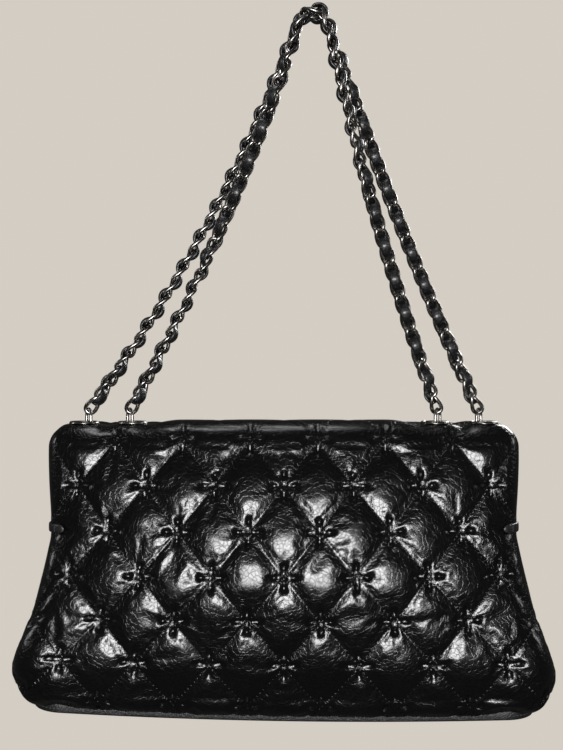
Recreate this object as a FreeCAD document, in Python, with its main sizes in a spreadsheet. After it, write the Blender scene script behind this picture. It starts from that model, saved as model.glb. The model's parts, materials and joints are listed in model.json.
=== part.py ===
import FreeCAD, Part
import math
import os

Vector = FreeCAD.Vector
doc = FreeCAD.newDocument("chain_shoulder_bag")

# Driving dimensions in millimetres and degrees
DIMENSIONS = {
    "strap_drop": 236.0,
    "hang_offset": 17.0,
    "top_width": 271.0,
    "waist_width": 267.0,
    "base_width": 302.0,
    "body_height": 163.0,
    "waist_drop": 58.0,
    "top_depth": 46.0,
    "base_depth": 86.0,
    "skin_thick": 1.8,
    "wadding_thick": 3.4,
    "lining_thick": 1.0,
    "mouth_drop": 30.0,
    "hinge_setback": 13.0,
    "flap_width": 262.0,
    "flap_drop": 108.0,
    "eyelet_inner": 88.0,
    "eyelet_outer": 116.0,
    "eyelet_hole": 6.2,
    "eyelet_rim": 8.4,
    "link_pitch": 10.0,
    "link_width": 9.8,
    "link_wire": 1.8,
    "link_tilt": 43.0,
    "lace_width": 2.6,
    "lace_thick": 0.8,
    "side_strap_height": 6.0,
    "side_strap_reach": 17.0,
    "snap_radius": 8.0,
}

sheet = doc.addObject("Spreadsheet::Sheet", "Dims")
for row, (alias, value) in enumerate(DIMENSIONS.items(), start=1):
    sheet.set("A%d" % row, alias)
    sheet.set("B%d" % row, str(value))
    sheet.setAlias("B%d" % row, alias)
doc.recompute()


def dim(alias):
    """Value of one driving dimension, as the sheet holds it."""
    return float(sheet.get(alias))


LAYER_GAP = 0.1
SPAN = 400.0

skin = dim("skin_thick")
wadding_start = skin + LAYER_GAP
wadding_end = wadding_start + dim("wadding_thick")
lining_start = wadding_end + LAYER_GAP
lining_end = lining_start + dim("lining_thick")
height = dim("body_height")
hinge_y = dim("hinge_setback")
top_back = 0.39 * dim("top_depth")
top_front = dim("top_depth") - top_back
base_back = 0.44 * dim("base_depth")
base_front = dim("base_depth") - base_back
base_edge = 5.0
top_edge = 10.0


def add_feature(name, shape, in_bag=True):
    """Named solid or group; parts of the bag are placed at its eyelet row below the hang point."""
    feature = doc.addObject("Part::Feature", name)
    feature.Label = name
    feature.Shape = shape
    if in_bag:
        feature.setExpression("Placement.Base.x", "-Dims.hang_offset")
        feature.setExpression("Placement.Base.z", "-Dims.strap_drop")
    return feature


def box(x0, x1, y0, y1, z0, z1):
    """Cutting block between the given limits."""
    return Part.makeBox(x1 - x0, y1 - y0, z1 - z0, Vector(x0, y0, z0))


# Pouch as nested lofts through rounded rectangles
def section(z, half, back, front, corner):
    """Closed rounded rectangle at height z."""
    x = half - corner
    y0 = -back + corner
    y1 = front - corner
    bend = corner * math.sqrt(0.5)
    outline = []
    starts = [(x, y0, 1, -1), (x, y1, 1, 1), (-x, y1, -1, 1), (-x, y0, -1, -1)]
    points = []
    for cx, cy, sx, sy in starts:
        side = Vector(cx + sx * corner, cy, z)
        tip = Vector(cx + sx * bend, cy + sy * bend, z)
        end = Vector(cx, cy + sy * corner, z)
        points.append((end, tip, side) if sx * sy < 0 else (side, tip, end))
    for index, (first, tip, last) in enumerate(points):
        following = points[(index + 1) % 4][0]
        outline.append(Part.Arc(first, tip, last).toShape())
        outline.append(Part.makeLine(last, following))
    return Part.Wire(outline)


def pouch(inset):
    """Solid pouch whose skin lies the given distance inside the outer face."""
    top_half = dim("top_width") / 2
    waist_half = dim("waist_width") / 2
    base_half = dim("base_width") / 2
    waist = dim("waist_drop")
    rows = [
        (-inset, top_half - 4.0, top_back - 4.0, top_front - 4.0, 9.0),
        (-top_edge, top_half, top_back, top_front, 11.0),
        (-waist, waist_half, top_back + 0.15 * (base_back - top_back), top_front + 3.0, 12.0),
        (-0.62 * height, 0.52 * waist_half + 0.48 * base_half, 0.8 * base_back, 0.8 * base_front, 16.0),
        (-0.87 * height, base_half, base_back, base_front, 22.0),
        (-height + inset, base_half - 6.0, base_back - 6.0, base_front - 6.0, 22.0),
    ]
    wires = []
    for z, half, back, front, corner in rows:
        wires.append(section(z, half - inset, back - inset, front - inset, max(corner - inset, 3.0)))
    return Part.makeLoft(wires, True, False)


outer = pouch(0.0)
skin_shell = outer.cut(pouch(skin))
gusset_shell = outer.cut(pouch(wadding_end))
wadding_shell = pouch(wadding_start).cut(pouch(wadding_end))
lining_shell = pouch(lining_start).cut(pouch(lining_end))
pocket_shell = pouch(lining_end + LAYER_GAP).cut(pouch(lining_end + LAYER_GAP + 0.9))

# Mouth: everything in front of the flap hinge and above the slanting front edge is open
mouth_profile = [
    Vector(-SPAN, hinge_y, 60.0),
    Vector(-SPAN, hinge_y, -lining_end - 1.0),
    Vector(-SPAN, top_front, -dim("mouth_drop")),
    Vector(-SPAN, 120.0, -dim("mouth_drop")),
    Vector(-SPAN, 120.0, 60.0),
]
mouth_face = Part.Face(Part.makePolygon(mouth_profile + mouth_profile[:1]))
mouth = mouth_face.extrude(Vector(2 * SPAN, 0, 0))

back_seam = -8.0
front_seam = 16.0
floor_z = -height + base_edge
wall_box = box(-SPAN, SPAN, -SPAN, back_seam, floor_z, 60.0)
ridge_box = box(-SPAN, SPAN, back_seam, hinge_y, -top_edge, 60.0)
front_box = box(-SPAN, SPAN, front_seam, SPAN, floor_z, 60.0)
floor_box = box(-SPAN, SPAN, -SPAN, SPAN, -SPAN, floor_z)
back_zone = wall_box.fuse(ridge_box)

# Eyelet positions along the ridge, with the link standing off-centre in each hole
EYELETS = [
    (-dim("eyelet_outer"), 2.6),
    (-dim("eyelet_inner"), -1.5),
    (dim("eyelet_inner"), 1.5),
    (dim("eyelet_outer"), -2.6),
]
barrel_wall = 0.9
barrel_radius = dim("eyelet_hole") + barrel_wall
ridge_holes = Part.makeCompound(
    [
        Part.makeCylinder(barrel_radius + LAYER_GAP, 80.0, Vector(x, 0, -40.0))
        for x, _ in EYELETS
    ]
)

# Snap on the front panel under the flap: axis square to the flap's front
flap_facing = 1.0
flap_wadding = 3.0
flap_skin = skin
flap_stack = flap_facing + flap_wadding + flap_skin + 2 * LAYER_GAP
flap_rise = 1.0
flap_stand = 3.0
shoulder = 7.0
flap_low_y = 0.8 * base_front + 6.0
flap_high_y = top_front + flap_stand
flap_slope = math.atan2(flap_low_y - flap_high_y, dim("flap_drop") - shoulder)
snap_drop = 0.8 * dim("flap_drop")
snap_axis = Vector(0, math.cos(flap_slope), math.sin(flap_slope))
flap_down = Vector(0, math.sin(flap_slope), -math.cos(flap_slope))
flap_centre = Vector(0, flap_high_y - shoulder, flap_rise - flap_stack - shoulder)
flap_foot = flap_centre + snap_axis * shoulder
snap_point = flap_foot + flap_down * ((snap_drop + flap_foot.z) / math.cos(flap_slope))
snap_cap_thick = 1.6
snap_base_top = -snap_cap_thick - 0.6


def snap_disc(radius, start, stop):
    """Disc on the snap axis, measured outward from the flap's inner face."""
    return Part.makeCylinder(radius, stop - start, snap_point + snap_axis * start, snap_axis)


snap_depth = 8.0
snap_base = snap_disc(dim("snap_radius"), snap_base_top - 4.4, snap_base_top)
snap_clear = snap_disc(dim("snap_radius") + 0.2, -snap_depth, snap_base_top)
snap_backing = snap_disc(dim("snap_radius"), snap_base_top - 5.6, snap_base_top - 4.5)

back_panel = skin_shell.common(back_zone).cut(ridge_holes)
front_panel = skin_shell.common(front_box).cut(mouth).cut(snap_clear)
base_panel = skin_shell.common(floor_box)
back_wadding = wadding_shell.common(back_zone).cut(ridge_holes)
front_wadding = wadding_shell.common(front_box).cut(mouth).cut(snap_clear)
base_board = wadding_shell.common(floor_box)
lining = lining_shell.cut(mouth).cut(ridge_holes)
pocket_box = box(-80.0, 80.0, -SPAN, 0.0, -0.78 * height, -0.36 * height)

add_feature("back_panel", back_panel)
add_feature("front_panel", front_panel)
for name, x0, x1 in (("left_gusset", -SPAN, 0.0), ("right_gusset", 0.0, SPAN)):
    side_box = box(x0, x1, back_seam, hinge_y, floor_z, -top_edge)
    lower_box = box(x0, x1, hinge_y, front_seam, floor_z, -top_edge)
    add_feature(name, gusset_shell.common(side_box.fuse(lower_box)).cut(mouth))
add_feature("base_panel", base_panel)
add_feature("back_wadding", back_wadding)
add_feature("front_wadding", front_wadding)
add_feature("base_board", base_board)
add_feature("lining", lining)
add_feature("inner_pocket", pocket_shell.common(pocket_box))
add_feature("snap_base", snap_base)
add_feature("snap_backing", snap_backing)

# Bands that lie on the outside of the pouch
def band(thick, zone):
    """Layer of the given thickness lying on the pouch within a zone."""
    return pouch(-thick - LAYER_GAP).cut(pouch(-LAYER_GAP)).common(zone)


strap_low = -dim("waist_drop") - dim("side_strap_height") / 2
strap_high = strap_low + dim("side_strap_height")
strap_inner = dim("waist_width") / 2 - dim("side_strap_reach")
add_feature("side_strap_left", band(1.8, box(-SPAN, -strap_inner, -SPAN, SPAN, strap_low, strap_high)))
add_feature("side_strap_right", band(1.8, box(strap_inner, SPAN, -SPAN, SPAN, strap_low, strap_high)))
add_feature("base_binding", band(1.2, box(-SPAN, SPAN, -SPAN, SPAN, -height + 0.3, floor_z - 0.6)))

# Flap: bent sheet from the hinge over the front shoulder and down, with rounded lower corners
def flap_layer(inner, thick, margin):
    """One layer of the flap between two offsets of its inner face."""
    lines = []
    for offset in (inner, inner + thick):
        radius = shoulder + offset
        top = flap_centre + Vector(0, 0, radius)
        middle = 0.5 * (math.pi / 2 + flap_slope)
        bend = flap_centre + Vector(0, radius * math.cos(middle), radius * math.sin(middle))
        foot = flap_centre + snap_axis * radius
        run = (dim("flap_drop") - shoulder) / math.cos(flap_slope)
        end = foot + flap_down * run
        start = Vector(0, hinge_y + margin, top.z)
        lines.append((start, top, bend, foot, end))
    low, high = lines
    edges = []
    for start, top, bend, foot, end in lines:
        edges.append(Part.makeLine(start, top))
        edges.append(Part.Arc(top, bend, foot).toShape())
        edges.append(Part.makeLine(foot, end))
    edges.append(Part.makeLine(low[0], high[0]))
    edges.append(Part.makeLine(low[4], high[4]))
    face = Part.Face(Part.Wire(Part.__sortEdges__(edges)))
    half = dim("flap_width") / 2 - margin
    sheet_solid = face.extrude(Vector(2 * half, 0, 0))
    sheet_solid.translate(Vector(-half, 0, 0))
    corner = 24.0 - margin
    low_z = -dim("flap_drop") + margin
    outline = box(-half, half, -50.0, 120.0, low_z, 60.0)
    corners = [edge for edge in outline.Edges if is_low_corner(edge, low_z)]
    return sheet_solid.common(outline.makeFillet(corner, corners))


def is_low_corner(edge, low_z):
    """True for an edge that runs through the flap's thickness at its lower end."""
    along = edge.Vertexes[1].Point - edge.Vertexes[0].Point
    return abs(along.y) > 1.0 and abs(edge.Vertexes[0].Point.z - low_z) < 0.01


facing_end = flap_facing
flap_wadding_start = facing_end + LAYER_GAP
flap_wadding_end = flap_wadding_start + flap_wadding
flap_skin_start = flap_wadding_end + LAYER_GAP
snap_cap = snap_disc(dim("snap_radius"), -snap_cap_thick, -LAYER_GAP)
add_feature("flap_facing", flap_layer(0.0, flap_facing, 1.5))
add_feature("flap_wadding", flap_layer(flap_wadding_start, flap_wadding, 1.5))
add_feature("flap_panel", flap_layer(flap_skin_start, flap_skin, 0.0))
add_feature("snap_cap", snap_cap)

# Chain links: flat round-wire ovals, and the longer ovals that stand in the eyelets
wire = dim("link_wire") / 2
clearance = 0.4
seat = dim("link_wire") + clearance


def oval_link(pitch):
    """Round-wire oval in the XZ plane, long in Z, whose neighbours hang one pitch apart."""
    radius = dim("link_width") / 2 - wire
    straight = pitch + seat - 2 * radius
    half = straight / 2
    pieces = []
    for sign in (1, -1):
        end = Vector(sign * radius, 0, sign * half)
        disc = Part.Face(Part.Wire(Part.makeCircle(wire, end, Vector(0, 0, 1))))
        pieces.append(disc.extrude(Vector(0, 0, -sign * straight)))
        pieces.append(disc.revolve(Vector(0, 0, sign * half), Vector(0, 1, 0), -180))
    return pieces[0].multiFuse(pieces[1:]).Solids[0]


def place_link(link, first, last, across):
    """Copy of a link between two neighbouring contact points, its width along a direction."""
    axis = (last - first).normalize()
    normal = axis.cross(across).normalize()
    placed = link.copy()
    placed.Placement = FreeCAD.Placement(
        (first + last) * 0.5, FreeCAD.Rotation(normal.cross(axis), normal, axis, "ZXY")
    )
    return placed


stand_top = 7.5
stand_foot = -13.0
stand_link = oval_link(stand_top - stand_foot)
stand_links = [
    place_link(stand_link, Vector(x + off, 0, stand_foot), Vector(x + off, 0, stand_top), Vector(0, 1, 0))
    for x, off in EYELETS
]
add_feature("eyelet_links", Part.makeCompound(stand_links))

# Short runs of chain under the ridge between the two eyelets of each side
cross_link = oval_link(dim("link_pitch"))
cross_links = []
for first, second in ((EYELETS[0], EYELETS[1]), (EYELETS[2], EYELETS[3])):
    x0 = first[0] + first[1]
    x1 = second[0] + second[1]
    reach = (x1 - x0 - dim("link_pitch")) / 2
    reach = min(reach, 0.97 * dim("link_pitch"))
    sink = math.sqrt(dim("link_pitch") ** 2 - reach ** 2)
    middle = (x0 + x1) / 2
    half_pitch = dim("link_pitch") / 2
    low_z = stand_foot - sink
    stops = [
        Vector(x0, 0, stand_foot),
        Vector(middle - half_pitch, 0, low_z),
        Vector(middle + half_pitch, 0, low_z),
        Vector(x1, 0, stand_foot),
    ]
    for index in range(3):
        along = (stops[index + 1] - stops[index]).normalize()
        across = Vector(0, 1, 0) if index == 1 else along.cross(Vector(0, 1, 0))
        cross_links.append(place_link(cross_link, stops[index], stops[index + 1], across))
add_feature("chain_crossings", Part.makeCompound(cross_links))


# Strap loops: eyelet, sagging strand, crown over the hook, sagging strand, eyelet
def blend(knots, fraction):
    """Smooth value between (position, value) knots."""
    for (x0, y0), (x1, y1) in zip(knots, knots[1:]):
        if fraction <= x1:
            t = max(0.0, (fraction - x0) / (x1 - x0))
            return y0 + (y1 - y0) * t * t * (3 - 2 * t)
    return knots[-1][1]


class StrapLoop:
    """One loop of chain with its woven lace."""

    def __init__(self, left, right, lean_left, lean_right, depth, rolls):
        self.rolls = rolls
        crown = 11.0
        crown_top = 3.2
        centre = Vector(0, depth, crown_top - crown)
        foot_z = stand_top - dim("strap_drop")
        lean0 = math.radians(lean_left)
        lean1 = math.radians(lean_right)
        left_touch = centre + Vector(-math.cos(lean0), 0, math.sin(lean0)) * crown
        right_touch = centre + Vector(math.cos(lean1), 0, math.sin(lean1)) * crown
        left_foot = Vector(left, 0, foot_z)
        right_foot = Vector(right, 0, foot_z)
        left_reach = (left_touch - left_foot).Length / 2
        right_reach = (right_touch - right_foot).Length / 2
        left_pull = left_touch + Vector(-math.sin(lean0), 0, -math.cos(lean0)) * left_reach
        right_pull = right_touch + Vector(math.sin(lean1), 0, -math.cos(lean1)) * right_reach
        rise = Part.BezierCurve()
        rise.setPoles([left_foot, left_pull, left_touch])
        fall = Part.BezierCurve()
        fall.setPoles([right_touch, right_pull, right_foot])
        arch = Part.Arc(left_touch, centre + Vector(0, 0, crown), right_touch)
        self.path = Part.Wire([rise.toShape(), arch.toShape(), fall.toShape()])
        self.count = 2 * round(self.path.Length / dim("link_pitch") / 2)
        self.pitch = self.path.Length / self.count

    def across(self, axis, fraction):
        """Width direction of the chain's flat at a fraction of the loop."""
        flat = Vector(0, 1, 0).cross(axis).normalize()
        roll = math.radians(blend(self.rolls, fraction))
        return flat * math.cos(roll) + axis.cross(flat) * math.sin(roll)

    def links(self):
        """Links in order from the left eyelet to the right one."""
        stops = self.path.discretize(Number=self.count + 1)
        link = oval_link(self.pitch)
        tilt = math.radians(dim("link_tilt"))
        placed = []
        for index in range(self.count):
            axis = (stops[index + 1] - stops[index]).normalize()
            flat = self.across(axis, (index + 0.5) / self.count)
            turn = tilt if index % 2 else -tilt
            side = flat * math.cos(turn) + axis.cross(flat) * math.sin(turn)
            placed.append(place_link(link, stops[index], stops[index + 1], side))
        return placed

    def lace(self):
        """Flat lace that passes over one meeting of links and under the next."""
        steps = 6
        stops = self.path.discretize(Number=self.count * steps + 1)
        wave = 4.0
        wires = []
        for index in range(steps // 2, len(stops) - steps // 2):
            axis = (stops[index + 1] - stops[index - 1]).normalize()
            flat = self.across(axis, index / (len(stops) - 1)) * (dim("lace_width") / 2)
            up = axis.cross(flat).normalize()
            middle = stops[index] + up * (wave * math.cos(math.pi * index / steps))
            lift = up * (dim("lace_thick") / 2)
            corners = [middle - flat - lift, middle + flat - lift, middle + flat + lift, middle - flat + lift]
            wires.append(Part.makePolygon(corners + corners[:1]))
        return Part.makeLoft(wires, True, True)


stands = [x + off - dim("hang_offset") for x, off in EYELETS]
outer_rolls = [(0, 43), (0.12, 90), (0.5, 90), (0.7, 180), (0.88, 180), (1.0, 137)]
inner_rolls = [
    (0, 43), (0.08, 70), (0.3, 180), (0.34, 180), (0.5, 90),
    (0.6, 90), (0.8, 180), (0.9, 180), (1.0, 137),
]
loop_depth = 6.5
loops = {
    "outer": StrapLoop(stands[0], stands[3], 20.0, 18.0, loop_depth, outer_rolls),
    "inner": StrapLoop(stands[1], stands[2], 22.0, 14.5, -loop_depth, inner_rolls),
}
for name, loop in loops.items():
    links = loop.links()
    middle = len(links) // 2
    add_feature("chain_%s_left" % name, Part.makeCompound(links[:middle]), in_bag=False)
    add_feature("chain_%s_right" % name, Part.makeCompound(links[middle:]), in_bag=False)
    add_feature("lace_%s" % name, loop.lace(), in_bag=False)


# Metal eyelets and their washers under the ridge
def bound(kind, name, **sizes):
    """Primitive whose sizes and position follow the sheet."""
    primitive = doc.addObject(kind, name)
    for prop, expression in sizes.items():
        primitive.setExpression(prop.replace("__", "."), expression)
    return primitive


def ring(name, outer_radius, inner_radius, thickness, x, z):
    """Flat ring round an eyelet's axis."""
    shared = {"Height": thickness, "Placement__Base__x": x, "Placement__Base__z": z}
    disc = bound("Part::Cylinder", name + "_disc", Radius=outer_radius, **shared)
    bore = bound("Part::Cylinder", name + "_bore", Radius=inner_radius, **shared)
    cut = doc.addObject("Part::Cut", name)
    cut.Base = disc
    cut.Tool = bore
    return cut


POSITIONS = {
    "outer_left": "-Dims.eyelet_outer",
    "inner_left": "-Dims.eyelet_inner",
    "inner_right": "Dims.eyelet_inner",
    "outer_right": "Dims.eyelet_outer",
}
depth_expression = "(Dims.skin_thick + Dims.wadding_thick + Dims.lining_thick + 0.9)"
barrel_expression = depth_expression + " + 0.9"
rims = []
washers = []
for name, x in POSITIONS.items():
    flange = ring("flange_" + name, "Dims.eyelet_rim", "Dims.eyelet_hole", "1.2", x, "0.05")
    barrel = ring(
        "barrel_" + name, "Dims.eyelet_hole + 0.9", "Dims.eyelet_hole", barrel_expression, x,
        "0.05 - (" + barrel_expression + ")",
    )
    rim = doc.addObject("Part::Fuse", "rim_" + name)
    rim.Base = flange
    rim.Tool = barrel
    rims.append(rim)
    washer_z = "-" + depth_expression + " - 0.8"
    washer_rim = "Dims.eyelet_rim - 0.4"
    washers.append(ring("washer_" + name, washer_rim, "Dims.eyelet_hole + 1.0", "0.8", x, washer_z))
for name, members in (("eyelets", rims), ("eyelet_washers", washers)):
    group = doc.addObject("Part::Compound", name)
    group.Label = name
    group.Links = members
    group.setExpression("Placement.Base.x", "-Dims.hang_offset")
    group.setExpression("Placement.Base.z", "-Dims.strap_drop")

doc.recompute()

NODES = [
    "chain_outer_left", "chain_outer_right", "chain_inner_left", "chain_inner_right",
    "lace_outer", "lace_inner", "eyelet_links", "chain_crossings", "eyelets", "eyelet_washers",
    "back_panel", "front_panel", "left_gusset", "right_gusset", "base_panel", "base_binding",
    "back_wadding", "front_wadding", "base_board", "lining", "inner_pocket",
    "side_strap_left", "side_strap_right", "snap_base", "snap_backing",
    "flap_panel", "flap_wadding", "flap_facing", "snap_cap",
]
for item in doc.Objects:
    if "Invalid" in item.State or "Error" in item.State:
        raise RuntimeError("failed feature: " + item.Name)
os.makedirs("parts", exist_ok=True)
for node in NODES:
    shape = doc.getObject(node).Shape
    if shape.isNull() or not shape.isValid():
        raise RuntimeError("bad shape: " + node)
    shape.exportStep("parts/%s.step" % node)
    print(node, len(shape.Solids), round(shape.Volume, 1), [round(v, 1) for v in (
        shape.BoundBox.XMin, shape.BoundBox.XMax, shape.BoundBox.YMin, shape.BoundBox.YMax,
        shape.BoundBox.ZMin, shape.BoundBox.ZMax)])
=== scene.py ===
"""Looks of a quilted shoulder bag that hangs by a doubled, laced curb chain."""
import json
import logging
import math
from dataclasses import dataclass
from enum import Enum

import bpy
import numpy as np
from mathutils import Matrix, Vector


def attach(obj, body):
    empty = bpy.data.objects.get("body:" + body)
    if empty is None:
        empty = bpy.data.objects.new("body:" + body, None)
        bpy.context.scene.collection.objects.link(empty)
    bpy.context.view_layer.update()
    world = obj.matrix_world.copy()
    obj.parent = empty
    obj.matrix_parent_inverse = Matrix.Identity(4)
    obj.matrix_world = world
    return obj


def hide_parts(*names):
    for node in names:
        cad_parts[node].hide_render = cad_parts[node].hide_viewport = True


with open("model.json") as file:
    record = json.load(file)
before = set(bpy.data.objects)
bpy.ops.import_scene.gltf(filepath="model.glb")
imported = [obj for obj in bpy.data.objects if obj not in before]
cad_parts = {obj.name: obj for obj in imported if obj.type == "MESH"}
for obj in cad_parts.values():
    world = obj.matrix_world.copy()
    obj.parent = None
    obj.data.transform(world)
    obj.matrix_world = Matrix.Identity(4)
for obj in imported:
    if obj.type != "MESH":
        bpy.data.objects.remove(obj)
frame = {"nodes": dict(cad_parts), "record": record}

log = logging.getLogger("chain_bag")

MM = 0.001
EYELET_ROW = np.array([-17.0, 0.0, -236.0])
EYELETS = ((-116.0, 2.6), (-88.0, -1.5), (88.0, 1.5), (116.0, -2.6))
HINGE_Y = 13.0
STRAP_Z = -58.0
BASE_Z = -163.0
SKIN_THICK = 1.2
UP = (0.0, 0.0, 1.0)


class Body(Enum):
    """The moving bodies that pieces ride on."""

    STRAP = "strap"
    BAG = "bag"
    FLAP = "flap"


class Slot(Enum):
    """The material slots of the record."""

    GLAZED = "glazed_leather"
    EDGE = "edge_leather"
    LACE = "lace_leather"
    METAL = "gunmetal"
    LINING = "lining_cloth"
    WADDING = "wadding"
    BOARD = "board"


class Side(Enum):
    """The two sides of the bag, as the sign of x."""

    LEFT = -1
    RIGHT = 1


# Curves and grids

def spline(knots: tuple, values: tuple, at: np.ndarray) -> np.ndarray:
    """Cubic Hermite curve through the knots, with slopes from neighbouring knots.

    Args:
        knots: increasing positions.
        values: value at each knot.
        at: positions to read.

    Returns:
        The curve's value at each position, held constant outside the knots.
    """
    x = np.asarray(knots, dtype=float)
    y = np.asarray(values, dtype=float)
    slopes = np.gradient(y, x)
    at = np.clip(at, x[0], x[-1])
    i = np.clip(np.searchsorted(x, at) - 1, 0, len(x) - 2)
    h = x[i + 1] - x[i]
    t = (at - x[i]) / h
    rise = y[i] * (1 + 2 * t) * (1 - t) ** 2 + y[i + 1] * t ** 2 * (3 - 2 * t)
    return rise + h * (slopes[i] * t * (1 - t) ** 2 + slopes[i + 1] * t ** 2 * (t - 1))


def ease(start: float, stop: float, at: np.ndarray) -> np.ndarray:
    """Smooth step from 0 at start to 1 at stop."""
    t = np.clip((at - start) / (stop - start), 0.0, 1.0)
    return t * t * (3 - 2 * t)


def unit(vectors: np.ndarray) -> np.ndarray:
    """Vectors scaled to length one along the last axis."""
    return vectors / np.linalg.norm(vectors, axis=-1, keepdims=True)


def length_of(points: np.ndarray) -> float:
    """Length of a polyline."""
    return np.linalg.norm(np.diff(points, axis=0), axis=1).sum()


def even_points(points: np.ndarray, count: int) -> np.ndarray:
    """Points at equal distances along a polyline.

    Args:
        points: polyline, one row a point.
        count: number of points to return, ends included.

    Returns:
        Array of count rows, each read by length along the polyline.
    """
    lengths = np.linalg.norm(np.diff(points, axis=0), axis=1)
    run = np.concatenate([[0.0], np.cumsum(lengths)])
    at = np.linspace(0.0, run[-1], count)
    return np.stack([np.interp(at, run, points[:, k]) for k in range(points.shape[1])], axis=1)


def spaced(points: np.ndarray, spacing: float) -> np.ndarray:
    """Points about a spacing apart along a polyline."""
    return even_points(points, int(length_of(points) / spacing))


def repeated(quads: np.ndarray, count: int, corners: int) -> np.ndarray:
    """Quads of several copies of a mesh, each with its own run of corner numbers."""
    return (quads[None] + (np.arange(count) * corners)[:, None, None]).reshape(-1, 4)


def grid_quads(rows: int, cols: int, wrap_rows: bool = False, wrap_cols: bool = False) -> np.ndarray:
    """Corner numbers of the quads of a grid; each quad goes along a row first, then along a column.

    Args:
        rows: number of rows of points.
        cols: number of columns of points.
        wrap_rows: joins the last row to the first.
        wrap_cols: joins the last column to the first.

    Returns:
        Quads by four.
    """
    index = np.arange(rows * cols).reshape(rows, cols)
    if wrap_rows:
        index = np.concatenate([index, index[:1]], axis=0)
    if wrap_cols:
        index = np.concatenate([index, index[:, :1]], axis=1)
    corners = [index[:-1, :-1], index[:-1, 1:], index[1:, 1:], index[1:, :-1]]
    return np.stack(corners, axis=-1).reshape(-1, 4)


def put_in(name: str, points: np.ndarray, quads: np.ndarray,
           uv: np.ndarray | None = None) -> bpy.types.Object:
    """Adds a smooth mesh object at the origin.

    Args:
        name: name of the piece.
        points: corners in millimetres in the row frame.
        quads: four corner numbers a face.
        uv: optional pattern coordinates, one pair a corner.

    Returns:
        The new object.
    """
    mesh = bpy.data.meshes.new(name)
    mesh.from_pydata((points.reshape(-1, 3) * MM).tolist(), [], quads.tolist())
    if uv is not None:
        layer = mesh.uv_layers.new(name="lattice")
        layer.data.foreach_set("uv", uv.reshape(-1, 2)[quads.ravel()].astype(np.float32).ravel())
    mesh.polygons.foreach_set("use_smooth", np.ones(len(quads), dtype=bool))
    mesh.update()
    piece = bpy.data.objects.new(name, mesh)
    bpy.context.scene.collection.objects.link(piece)
    return piece


def sheet(name: str, grid: np.ndarray, flip: bool = False, keep: np.ndarray | None = None,
          uv: np.ndarray | None = None, held: np.ndarray | None = None, wrap_rows: bool = False,
          wrap_cols: bool = False) -> bpy.types.Object:
    """Mesh over a grid of points.

    Args:
        name: name of the piece.
        grid: points as rows by columns by three.
        flip: turns the faces round.
        keep: which points stay; a face goes when one of its corners goes.
        uv: pattern coordinates, rows by columns by two.
        held: how firmly each point is sewn down, from 0 to 1, kept as the vertex group "sewn".
        wrap_rows: joins the last row to the first.
        wrap_cols: joins the last column to the first.

    Returns:
        The new object.
    """
    rows, cols = grid.shape[:2]
    quads = grid_quads(rows, cols, wrap_rows, wrap_cols)
    if flip:
        quads = quads[:, ::-1]
    used = np.arange(rows * cols)
    if keep is not None:
        quads = quads[keep.ravel()[quads].all(axis=1)]
        used, quads = np.unique(quads, return_inverse=True)
        quads = quads.reshape(-1, 4)
    flat_uv = None if uv is None else uv.reshape(-1, 2)[used]
    piece = put_in(name, grid.reshape(-1, 3)[used], quads, flat_uv)
    if held is not None:
        group = piece.vertex_groups.new(name="sewn")
        levels = np.round(held.ravel()[used], 1)
        for level in np.unique(levels):
            group.add(np.flatnonzero(levels == level).tolist(), float(level), "REPLACE")
    return piece


def closed_wires(paths: np.ndarray, radius: float, sides: int) -> tuple[np.ndarray, np.ndarray]:
    """Round wire bent along closed paths.

    The ring at each path point is centre + radius * (cos(turn) * out + sin(turn) * side), where out points
    away from the middle of the path and side is square to it and to the path.

    Args:
        paths: count by points by three, millimetres.
        radius: wire radius.
        sides: corners round the wire.

    Returns:
        Points and quads of all the wires together.
    """
    along = unit(np.roll(paths, -1, axis=1) - np.roll(paths, 1, axis=1))
    out = paths - paths.mean(axis=1, keepdims=True)
    out = unit(out - (out * along).sum(-1, keepdims=True) * along)
    side = np.cross(along, out)
    turn = np.linspace(0.0, 2 * math.pi, sides, endpoint=False)[:, None]
    round_wire = np.cos(turn) * out[:, :, None] + np.sin(turn) * side[:, :, None]
    rings = paths[:, :, None] + radius * round_wire
    count, steps = paths.shape[:2]
    quads = grid_quads(steps, sides, True, True)
    return rings.reshape(-1, 3), repeated(quads, count, steps * sides)


def swept(path: np.ndarray, across: np.ndarray, up: np.ndarray, profile: np.ndarray) -> np.ndarray:
    """Profile carried along a path: centre + across * first + up * second coordinate of the profile.

    Args:
        path: points by three.
        across: width direction at each point.
        up: thickness direction at each point.
        profile: points by sides by two, or sides by two for the same profile all along.

    Returns:
        Grid of points by sides by three.
    """
    shape = np.broadcast_to(profile, (len(path),) + profile.shape[-2:])
    return path[:, None] + across[:, None] * shape[..., :1] + up[:, None] * shape[..., 1:]


def rounded_bar(width: float, thick: float, sides: int = 16, squareness: float = 0.45) -> np.ndarray:
    """Closed superellipse profile of a strap: the powers of cosine and sine flatten its faces.

    Args:
        width: size along the first coordinate.
        thick: size along the second coordinate.
        sides: number of points.
        squareness: the power; 1 gives an ellipse, and less gives flatter faces.

    Returns:
        Sides by two.
    """
    turn = np.linspace(0.0, 2 * math.pi, sides, endpoint=False)
    cos, sin = np.cos(turn), np.sin(turn)
    first = np.sign(cos) * np.abs(cos) ** squareness * width / 2
    second = np.sign(sin) * np.abs(sin) ** squareness * thick / 2
    return np.stack([first, second], axis=-1)


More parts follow.
